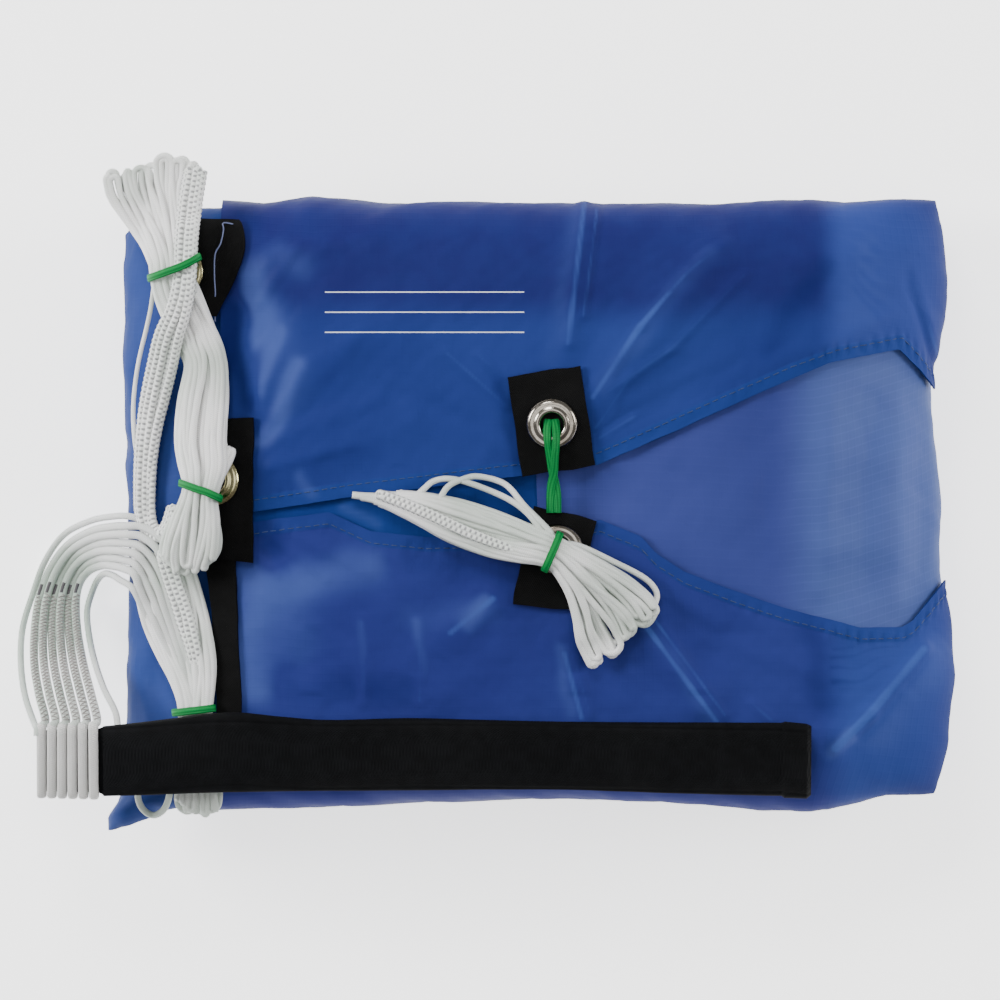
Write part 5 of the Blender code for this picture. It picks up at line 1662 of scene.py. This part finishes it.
    # Single lines of the hanks: x, y and lift, one table each
    strays: dict = field(default_factory=lambda: {
        "centre": (
            ((-45, -1, 5), (-39.4, 4, 4.4), (-36.2, 6.6, 4), (-30.8, 7.6, 4), (-23, 6, 5), (-10.4, 0.9, 7),
             (-2.6, -4.6, 9.4), (4, -13, 12)),
            ((-34, 0, 6), (-30.8, 4.8, 5), (-25.6, 7.4, 4.8), (-19.8, 8.4, 5), (-10.4, 5.6, 6),
             (-3.4, -2.2, 8.6), (4.4, -10, 11.6), (9, -16, 12)),
            ((8, -15.4, 13), (16, -16.4, 10), (27.8, -21.8, 6.4), (39.5, -28, 4), (43.8, -33.5, 3),
             (41.6, -38.2, 3.4), (35, -35.4, 6), (24, -27, 9)),
            ((10, -17.6, 13), (22, -21.4, 9), (34, -29, 6.4), (41.6, -36, 4.4), (43.4, -39.7, 3.4),
             (40, -44.6, 3), (34, -43, 5)),
        ),
        "left": (
            ((-119.1, 1.1, 12.6), (-114.6, -5.4, 11.4), (-112.7, -12.6, 10), (-113.4, -18.7, 9.6),
             (-117.4, -22.6, 9.4), (-123.8, -24.4, 9.4), (-130, -22.8, 9.6), (-133.2, -18, 10),
             (-131.4, -10.8, 11), (-127.4, -3.6, 12), (-124.8, 1.2, 12.6)),
            ((-115.9, 3, 13), (-112.6, 10.8, 10), (-109.6, 16.6, 8), (-109, 18.4, 7.4), (-110.6, 16.4, 7),
             (-113.2, 9.6, 9), (-115.5, 2, 11)),
            ((-114.6, 3.4, 12), (-110.8, 10.2, 9), (-108.2, 15.6, 7.6), (-108, 18, 7), (-109.6, 15.8, 6.6),
             (-112.4, 9, 8.4), (-114.7, 2.4, 10.6)),
            ((-117, 3, 13.6), (-114.4, 11.4, 10.6), (-111.4, 17.6, 8.4), (-110.8, 19.6, 7.6),
             (-112.4, 17.2, 7.6), (-114.8, 10.4, 9.6), (-116.6, 2.4, 11.6)),
            ((-134.6, 106, 7), (-135.4, 116, 6), (-134.4, 121.4, 5.8), (-132.5, 123.6, 5.8),
             (-130.6, 121.6, 5.8), (-129.8, 116, 6), (-130.4, 106, 7)),
            ((-136, 80, 7), (-137.9, 67.3, 3.6), (-142.2, 49, 0.6), (-144, 34.2, -0.6), (-143.6, 22, -1),
             (-142, 12, -1)),
            ((-121.6, 74, 13), (-115.6, 62.6, 9), (-111.6, 52.6, 6), (-110.4, 40, 5.4), (-111, 28, 6.4),
             (-113.6, 16, 9)),
        ),
        "under": (
            ((-123.6, -98, 1.6), (-127.6, -104.4, 1.4), (-127.8, -109.6, 1.2), (-124.4, -112, 1.2),
             (-120.6, -109, 1.4), (-119.6, -100, 1.6)),
            ((-118.6, -98, 1.6), (-119.4, -106, 1.4), (-116.8, -111.4, 1.2), (-113.4, -109.8, 1.2),
             (-112.8, -103.6, 1.6), (-114.8, -97, 1.8)),
        ),
    })
    upper_tips: Rows = (
        (-1, 0.6), (-0.75, 2.6), (-0.35, 3.6), (-0.1, 5), (0.12, 0.8), (0.4, 0.2), (0.6, -1.6),
        (0.85, -2.2), (1, -3.4))
    bulb_tips: Rows = ((-1, -7), (-0.6, -1.6), (0, 0.2), (0.6, -1.4), (1, -5.6))
    centre_start: Rows = ((-1, -16), (-0.4, -7), (0, 0), (0.5, -5), (1, -10))
    centre_end: Rows = ((-1, -3), (-0.4, -0.5), (0.2, 1), (0.7, 4), (1, 5.6))

    @staticmethod
    def single(skin: Skin, rows: Rows, size: float = 2.3) -> None:
        """Adds a single line along a table of x, y and lift."""
        table = even_path(np.array(rows, float), 60, False)
        path, _ = FORM.lay(table[:, 0], table[:, 1], table[:, 2])
        skin.tube(even_path(path, 70), size, size * 0.95, (0.02, 0.03, 1.0), sides=8)

    def build(self) -> None:
        """Every hank, braid and band."""
        left = Bundle(self.left, 30, 3, start_reach=self.upper_tips, end_reach=self.bulb_tips, drift=0.13,
                      inner=14, uneven=1.8)
        skin = Skin()
        left.loops(skin)
        left.core(skin, 0.1, 0.93)
        for k, rows in enumerate(self.strays["left"]):
            self.single(skin, rows, 1.6 if k == 5 else 2.3)
        Dresser.dress(skin.piece("left_hank_lines"), Finish.LINE, "white_line",
                      ("upper_hank", "middle_left_hank"))

        braid = Bundle(self.braid, 10, 5, size=2.8, drift=0.07, bead=0.16, inner=0, core_share=0.8)
        skin = Skin()
        braid.loops(skin)
        braid.core(skin, 0.05, 0.95)
        Dresser.dress(skin.piece("coarse_braid_lines"), Finish.PLAIT, "white_line", ("braid",))

        lower = Bundle(self.lower, 18, 7, end_reach=((-1, 0.5), (1, -0.5)), drift=0.2)
        joining = Bundle(self.joining, 12, 8, drift=0.2)
        skin = Skin()
        for part in (lower, joining):
            part.loops(skin)
            part.core(skin, 0.08, 0.9)
        for rows in self.strays["under"]:
            self.single(skin, rows, 2.1)
        Dresser.dress(skin.piece("lower_hank_lines"), Finish.LINE, "white_line", ("lower_hank",))
        skin = Skin()
        Bundle(self.lower_braid, 6, 9, size=2.6, drift=0.08, bead=0.16, inner=0).loops(skin)
        Dresser.dress(skin.piece("lower_braid_lines"), Finish.PLAIT, "white_line")

        centre = Bundle(self.centre, 26, 11, start_reach=self.centre_start, end_reach=self.centre_end,
                        drift=0.14, inner=12, uneven=1.5)
        skin = Skin()
        centre.loops(skin)
        centre.core(skin, 0.2, 0.86)
        for rows in self.strays["centre"]:
            self.single(skin, rows, 2.2)
        Dresser.dress(skin.piece("centre_hank_lines"), Finish.LINE, "white_line", ("middle_hank",))
        skin = Skin()
        Bundle(self.centre_braid, 4, 12, size=2.2, drift=0.08, bead=0.16, inner=0).loops(skin)
        Dresser.dress(skin.piece("centre_braid_lines"), Finish.PLAIT, "white_line")

        whole = Bundle(((-136.6, -18.4, 7.6, 2.2, -1.6), (-129.4, -43.0, 11.6, 3.4, -1.4),
                        (-123.0, -66.0, 7.2, 3.1, 0.2), (-122.2, -74, 6.6, 2.8, 0.8),
                        (-121.8, -78.5, 6.5, 2.8, 0.8), (-121.4, -92, 6.6, 2.8, 0.8)), 4, 1)
        both = Bundle(((-132.4, 92.0, 9.6, 6.0, 5.2), (-128.8, 83.0, 8.9, 6.0, 5.4),
                       (-127.6, 74.0, 9.0, 6.0, 5.0)), 4, 1)
        for name, node, bundle, column, place, lean in (
                ("upper_band", "elastic_upper", both, 1, 82.6, 10.0),
                ("middle_left_band", "elastic_middle_left", left, 1, 3.6, -14.0),
                ("centre_band", "elastic_middle", centre, 0, 6.6, 4.0),
                ("lower_band", "elastic_lower", whole, 1, -75.4, 0.0)):
            skin = Skin()
            bundle.band(skin, column, place, lean)
            Dresser.dress(skin.piece(name), Finish.ELASTIC, "green_elastic", (node,))


@dataclass
class ClosingLoop:
    """Two strands of green elastic from the upper middle eyelet to the lower one."""

    # x, y, sideways place of a strand, lift
    course: Rows = (
        (6.2, 28.6, 1.3, 1.6), (6.2, 25, 1.6, 4), (6.3, 21, 1.5, 5.4), (6.5, 15, 0.8, 4.8),
        (6.8, 9.5, 0.15, 3.8), (6.9, 5, -0.8, 3.4), (7, 1, -1.2, 3.2), (7, -4.6, -1.3, 3.2))
    wide: float = 3.1
    thick: float = 1.6

    def build(self) -> None:
        """Both strands as one piece."""
        skin = Skin()
        for sign in (1, -1):
            rows = even_path(np.array(self.course), 60, False)
            share = np.linspace(0, 1, 60)
            path, normal = FORM.lay(rows[:, 0] + sign * rows[:, 2], rows[:, 1],
                                    rows[:,
                                         3] + sign * 0.9 * np.sin(np.pi * np.clip(share * 1.5 - 0.25, 0, 1)))
            roll = 0.7 * np.sin(np.pi * share * 1.5) * sign
            out = normal + np.outer(roll, (1.0, 0.0, 0.0))
            skin.tube(path, self.wide, self.thick, out, sides=12, power=0.7)
        Dresser.dress(skin.piece("closing_elastic"), Finish.ELASTIC, "green_elastic", ("closing_loop",))


# Riser, its line eyes and the free lines


@dataclass
class Riser:
    """The sleeved riser, its bare tongue and the sewn eyes round the tongue."""

    # x, upper edge, lower edge, height of its underside (0: it rests on the cloth), thickness, tilt
    rows: Rows = (
        (-177.6, -82.2, -104.4, 58.6, 2.6, 8), (-166, -82, -104.6, 63, 2.6, 8),
        (-155.6, -81.6, -104.8, 66.6, 2.6, 8), (-154.4, -80.6, -105.8, 65.6, 5.4, 8),
        (-142, -79.2, -105.4, 69, 5.4, 9), (-129.6, -77.6, -104.9, 71, 5.4, 10),
        (-118, -75.9, -104.5, 71.4, 5.4, 11), (-105.8, -75.2, -104.2, 71, 5.4, 13),
        (-90, -76.6, -103.9, 71.2, 5.4, 15), (-73.4, -77.6, -103.7, 0, 5.4, 17),
        (-45, -76.8, -103.5, 0, 5.4, 18), (-20, -77.4, -103.2, 0, 5.4, 18), (10, -78.1, -103.2, 0, 5.4, 18),
        (40, -78.3, -104.2, 0, 5.4, 18), (66, -78.4, -105, 0, 5.4, 18), (88.6, -78.5, -105.6, 0, 5.4, 18),
        (89.6, -78, -106.2, 0, 6.2, 18), (97.6, -78.8, -106.4, 0, 6.2, 18),
        (99.2, -79.8, -105.4, 0, 4.4, 18))
    clear: float = 0.7
    sleeve_end: float = -154.4
    eye_gap: float = 1.6
    eye_clear: float = 0.4
    tongue_half: float = 1.3
    eyes: int = 6
    eye_step: float = 3.78
    eye_wide: float = 3.55
    eye_thick: float = 2.2

    def __post_init__(self) -> None:
        """Works out the riser's frames at the table's rows."""
        frames = []
        for x, upper, lower, least, thick, tilt in self.rows:
            lean = math.radians(tilt)
            wide, out = np.array((0, math.cos(lean), math.sin(lean))), np.array((0, -math.sin(lean),
                                                                                 math.cos(lean)))
            middle, half = np.array((x, (upper + lower) / 2, least)), (upper - lower) / 2
            if least == 0:
                t = np.linspace(-1, 1, 9)
                need = FORM.top_height(np.full(9, x), middle[1] + wide[1] * half * t, Fit.WHOLE)
                middle[2] = np.max(need - half * t * math.sin(lean) + self.clear / math.cos(lean))
            frames.append((*(middle + out * thick / 2), half, thick, lean))
        self.frames = np.array(frames)

    def at(self, x: np.ndarray) -> np.ndarray:
        """Frame columns at places along x."""
        return np.stack([np.interp(x, self.frames[:, 0], self.frames[:, k]) for k in range(6)], axis=-1)

    def tube_of(self, name: str, rows: np.ndarray, sides: int, power: float, seed: int) -> bpy.types.Object:
        """A flat closed tube through frame rows, a little uneven, its edges soft.

        Args:
            name: The piece's name.
            rows: The table of its path.
            sides: How many sides it has.
            power: How square its section is.
            seed: Which small waves.

        Returns:
            The finished piece.
        """
        lean = rows[:, 5]
        wide = np.stack((np.zeros(len(rows)), np.cos(lean), np.sin(lean)), axis=1)
        out = np.stack((np.zeros(len(rows)), -np.sin(lean), np.cos(lean)), axis=1)
        turn = np.linspace(0, 2 * np.pi, sides, endpoint=False)
        s = np.sign(np.cos(turn)) * np.abs(np.cos(turn)) ** power
        h = np.sign(np.sin(turn)) * np.abs(np.sin(turn)) ** 0.45
        side = rows[:, 3:4] * s[None, :]
        seam = 0.55 * np.exp(-(((side + 1.6) / 0.7) ** 2)) + 0.3 * np.exp(-(((np.abs(side) - 11.6) / 0.6) ** 2))
        wave = 0.14 * ripple(rows[:, :1] + 0 * side, side * 2.0, seed, 12, 40)
        high = rows[:, 4:5] / 2 * h[None, :] + np.where(h[None, :] > 0, wave - seam, 0.0)
        ring = rows[:, None, :3] + wide[:, None, :] * side[..., None] + out[:, None, :] * high[..., None]
        skin = Skin()
        number = len(rows)
        skin.verts.append(ring.reshape(-1, 3))
        skin.count = number * sides
        for i in range(number - 1):
            for k in range(sides):
                m = (k + 1) % sides
                skin.faces.append((i * sides + k, i * sides + m, (i + 1) * sides + m, (i + 1) * sides + k))
                u0, u1 = k / sides * 6.2, (k + 1) / sides * 6.2
                v0, v1 = rows[i, 0] / 10, rows[i + 1, 0] / 10
                skin.places += [(u0, v0), (u1, v0), (u1, v1), (u0, v1)]
        for i, order in ((0, -1), (number - 1, 1)):
            skin.faces.append(tuple([i * sides + k for k in range(sides)][::order]))
            skin.places += [(k / sides * 6.2, rows[i, 0] / 10) for k in range(sides)][::order]
        return skin.piece(name, 40)

    def eye_frame(self, number: int) -> tuple[np.ndarray, np.ndarray, np.ndarray]:
        """Where a line eye goes round the tongue.

        Args:
            number: Which eye, from 0 at the tongue's tip.

        Returns:
            The section's row there, and its directions across and out.
        """
        x = self.sleeve_end - self.eye_gap - self.eye_step * (self.eyes - number - 0.5)
        centre = self.at(np.array([x]))[0]
        lean = centre[5]
        wide = np.array((0, math.cos(lean), math.sin(lean)))
        return centre, wide, np.array((0, -math.sin(lean), math.cos(lean)))

    def build(self) -> None:
        """The sleeve, its end cap, the tongue and the eyes."""
        sleeve = even_path(self.frames[3:16], 150)
        end = self.frames[16:]
        cap = self.at(end[0, 0] + (end[-1, 0] - end[0, 0]) * np.linspace(0, 1, 24))
        piece = self.tube_of("riser_sleeve", np.vstack((sleeve, cap)), 128, 0.35, 71)
        Dresser.dress(piece, Finish.SLEEVE, "black_webbing", ("riser",))
        tongue = self.at(np.linspace(-177.4, -153.0, 24))
        tongue[:, 4] = 2.5
        Dresser.dress(self.tube_of("riser_tongue", tongue, 40, 0.3, 72), Finish.SLEEVE, "black_webbing")
        for k in range(self.eyes):
            centre, wide, out = self.eye_frame(k)
            turn = np.linspace(0, 2 * np.pi, 60, endpoint=False)
            reach = centre[3] + self.eye_clear + self.eye_thick / 2
            rise = self.tongue_half + self.eye_clear + self.eye_thick / 2
            s = reach * np.sign(np.cos(turn)) * np.abs(np.cos(turn)) ** 0.35
            h = rise * np.sign(np.sin(turn)) * np.abs(np.sin(turn)) ** 0.6
            path = centre[:3] + s[:, None] * wide + h[:, None] * out
            path[:, 0] += 0.12 * np.sin(turn + k)
            path = even_path(np.vstack((path, path[:1])), 90)[:-1]
            skin = Skin()
            skin.tube(path, self.eye_wide, self.eye_thick, unit(path - centre[:3] - 0.6 * s.mean() * wide),
                      sides=12, closed=True, power=0.85)
            Dresser.dress(skin.piece(f"sewn_eye_{k + 1}"), Finish.SEWN, "white_line", (f"line_eye_{k + 1}",))


@dataclass
class FreeLines:
    """The six lines from the eyes, sewn double at first, the two strays and the open loop."""

    size: float = 2.4
    outer: Rows = (
        (-175.4, -78.9, 60.6), (-178, -69.5, 52), (-180.2, -58.5, 36), (-180.6, -46.5, 17),
        (-179.2, -35, 5.2), (-175.2, -24.4, 3), (-168.6, -16, 9), (-159.8, -11.2, 27), (-152.2, -9.6, 43.5),
        (-146.4, -9.4, 52.6))
    inner: Rows = (
        (-156.6, -78.6, 67.6), (-159.2, -69.2, 58), (-162.6, -58, 41), (-165.2, -46.5, 21), (-166, -37, 8),
        (-164.6, -30, 4.6), (-161, -25.6, 11), (-155.8, -23.6, 27), (-151.4, -23.8, 42.5),
        (-147.6, -24.6, 50.6))
    outer_stray: Rows = (
        (-179.4, -80.6, 56), (-183.4, -70, 43), (-185.4, -58, 26), (-185.2, -46, 10), (-181.7, -33.8, 3.4),
        (-177.4, -22.2, 2.2), (-170.4, -12.6, 7.6), (-160.4, -7.6, 26), (-152.2, -6, 43),
        (-146, -5.8, 52.6))
    inner_stray: Rows = (
        (-150.2, -75.8, 66), (-154.6, -67.4, 58), (-158.4, -57.6, 42), (-161, -47.6, 24), (-161.8, -40, 12),
        (-160.4, -34.2, 9), (-158, -29, 15), (-155, -26.6, 29.6), (-151.6, -27.2, 42),
        (-149.2, -28.6, 48.6))
    open_loop: Rows = (
        (-128.9, -90.5, 62.2), (-135.5, -94.5, 60.4), (-140.2, -100, 56.4), (-142.4, -105.8, 52.4),
        (-141, -110.8, 49.2), (-137.2, -113.4, 48), (-133.4, -111.6, 51.4), (-131.2, -107, 56.6),
        (-130.6, -101.5, 60.6), (-131, -96.5, 62.4))
    # Over the leaf's edge and on into the lower hank: x, y and lift, for the first and the last line
    outer_end: Rows = (
        (-140.6, -9.6, 4), (-134.2, -13.4, 5), (-129.6, -21, 5.6), (-127.2, -31, 5.8), (-124.8, -42, 5.8),
        (-122.4, -54, 5), (-120.6, -64, 3.6))
    inner_end: Rows = (
        (-143.6, -26.6, 3.6), (-141.4, -32, 4.2), (-138.8, -38, 4.6), (-136, -44, 4.8), (-132.6, -51, 4.8),
        (-129, -58, 4.6), (-126.2, -66, 3.4))
    outer_stray_end: Rows = ((-140.6, -7.4, 1.4), (-135.6, -9.8, 1.6), (-131.6, -15, 2.4))
    inner_stray_end: Rows = ((-144.6, -31.4, 3), (-141.4, -37, 4), (-138.4, -44, 3.6))
    stagger: float = 0.8
    sewn_to: float = -33.6
    zigzag: float = 2.0

    def out_of(self, path: np.ndarray) -> np.ndarray:
        """The side of the line that is seen from above, along its path."""
        run = unit(np.gradient(path, axis=0))
        up = np.array((0.0, 0.0, 1.0)) - run * run[:, 2:3]
        return unit(up)

    def sewing(self, name: str, path: np.ndarray, half: float) -> bpy.types.Object:
        """Zigzag stitches over the doubled part of a line, with its dark cut end.

        Args:
            name: The piece's name.
            path: The line's points.
            half: Half of the sewn length.

        Returns:
            The finished piece.
        """
        walk = walk_of(path)
        run = unit(np.gradient(path, axis=0))
        out = self.out_of(path)
        side = np.cross(run, out)
        at = np.arange(5.5, walk[-1] - 1.0, self.zigzag / 4)
        sway = (2 / np.pi) * np.arcsin(np.sin(2 * np.pi * at / self.zigzag))
        place = read_along(at, walk, path)
        side_at = read_along(at, walk, side)
        out_at = read_along(at, walk, out)
        skin = Skin()
        skin.tube(place + side_at * (sway * half)[:, None] + out_at * (1.3 - 0.3 * sway**2)[:, None],
                  0.42, 0.36, out_at, sides=5)
        return Dresser.dress(skin.piece(name), Finish.GREY_THREAD, "white_line")

    def line(self, name: str, rows: np.ndarray, node: str, sewn: bool, finish: Finish = Finish.FREE) -> None:
        """One free line on its solid's route, with its sewing where it is doubled.

        Args:
            name: The piece's name.
            rows: The table of its path.
            node: The solid that it stands for.
            sewn: Whether it ends in a sewn eye.
            finish: Its finish.
        """
        path = even_path(rows, 150 if sewn else 90)
        wide = np.full(len(path), self.size)
        thick = np.full(len(path), self.size * 0.96)
        if sewn:
            low = path[:, 1] < self.sewn_to
            first = int(np.argmin(low)) if not low.all() else len(path)
            share = np.clip((first - np.arange(len(path))) / 5.0, 0, 1)
            wide = self.size + 0.5 + 0.25 * share
            self.sewing(f"{name}_sewing", path[:first], 1.2)
            tail = Skin()
            end = path[first - 1:first + 3] + np.array((-0.5, 0.0, 0.95))
            tail.tube(end, 1.3, 0.9, (0, 0, 1), sides=8)
            Dresser.dress(tail.piece(f"{name}_cut_end"), Finish.DARK_THREAD, "white_line")
        skin = Skin()
        skin.tube(path, wide, thick, self.out_of(path), sides=10)
        piece = Dresser.dress(skin.piece(name), finish, "white_line", (node,))

    @staticmethod
    def eye_points(number: int, shift: float = 0.0) -> np.ndarray:
        """Two points by which a line leaves its eye over the tongue."""
        riser = Riser()
        centre, wide, out = riser.eye_frame(number)
        reach = centre[3] + riser.eye_clear + riser.eye_thick / 2
        rows = [centre[:3] + wide * (reach - 3.2) + out * 2.7, centre[:3] + wide * (reach - 0.3) + out * 1.2]
        return np.array(rows) + np.array((shift, 0.0, 0.0))

    def build(self) -> None:
        """Every free line."""
        outer, inner = np.array(self.outer), np.array(self.inner)
        first, last = np.array(self.outer_end), np.array(self.inner_end)
        for k in range(6):
            rows = outer + (inner - outer) * k / 5
            rows[:, 2] += 2 * self.stagger * (k % 2)
            over = first + (last - first) * k / 5
            rows = np.vstack((self.eye_points(k), rows,
                              FORM.lay(over[:, 0], over[:, 1], over[:, 2] + 0.7 * (k % 2))[0]))
            self.line(f"sewn_line_{k + 1}", rows, f"line_{k + 1}", True)
        ends = [FORM.lay(*np.array(rows).T)[0] for rows in (self.outer_stray_end, self.inner_stray_end)]
        rows = np.vstack((self.eye_points(0, -1.6), self.outer_stray, ends[0]))
        self.line("outer_stray_line", rows, "line_outer_stray", False)
        rows = np.vstack(((-149.2, -81.0, 69.4), self.inner_stray, ends[1]))
        self.line("inner_stray_line", rows, "line_inner_stray", False)
        self.line("open_loop_line", np.array(self.open_loop), "line_open_loop", False)


# Stage


@dataclass
class Studio:
    """Pale floor, soft lights and the camera over the pack, as in the photograph."""

    middle: tuple[float, float] = (-0.01224, 0.0)
    camera_height: float = 5.045
    lens: float = 500.0
    # x, y, z, aimed at x, y, z, size, power
    lights: Rows = (
        (-1.7, 0.5, 1, 0, 0, 0.05, 0.9, 42), (1.7, 0.3, 0.9, 0, 0, 0.05, 0.9, 24),
        (-0.5, 1.6, 2, 0, 0, 0.05, 0.8, 24), (0, 0, 3.2, 0, 0, 0, 2.2, 26))
    ambient: float = 0.3

    def build(self) -> None:
        """The floor, the lights, the air's light and the camera."""
        bpy.ops.object.select_all(action="DESELECT")
        bpy.ops.mesh.primitive_plane_add(size=7, location=(0, 0, -0.0004))
        floor = bpy.context.active_object
        floor.name = "floor"
        floor.data.materials.append(Dresser.material(Finish.FLOOR))
        for k, (x, y, z, tx, ty, tz, size, power) in enumerate(self.lights):
            bpy.ops.object.light_add(type="AREA", location=(x, y, z))
            lamp = bpy.context.active_object
            lamp.name = f"soft_light_{k + 1}"
            lamp.data.shape = "DISK"
            lamp.data.size = size
            lamp.data.energy = power
            aim = np.array((tx - x, ty - y, tz - z))
            level = math.atan2(math.hypot(aim[0], aim[1]), -aim[2])
            lamp.rotation_euler = (level, 0, math.atan2(aim[1], aim[0]) - math.pi / 2)
        world = bpy.data.worlds.new("studio air")
        bpy.context.scene.world = world
        world.use_nodes = True
        world.node_tree.nodes["Background"].inputs[0].default_value = (1.0, 1.0, 1.0, 1)
        world.node_tree.nodes["Background"].inputs[1].default_value = self.ambient
        bpy.ops.object.camera_add(location=(*self.middle, self.camera_height), rotation=(0, 0, 0))
        camera = bpy.context.active_object
        camera.name = "camera"
        camera.data.lens = self.lens
        camera.data.sensor_width = 36.0
        camera.data.clip_end = 50.0
        bpy.context.scene.camera = camera


def main() -> None:
    """Builds every piece over the frame."""
    bpy.ops.object.select_all(action="DESELECT")
    Studio().build()
    FreeLines().build()
    ContainerCloths().build()
    Tabs().build()
    StowedLines().build()
    ClosingLoop().build()
    Riser().build()


if __name__ == "__main__":
    main()
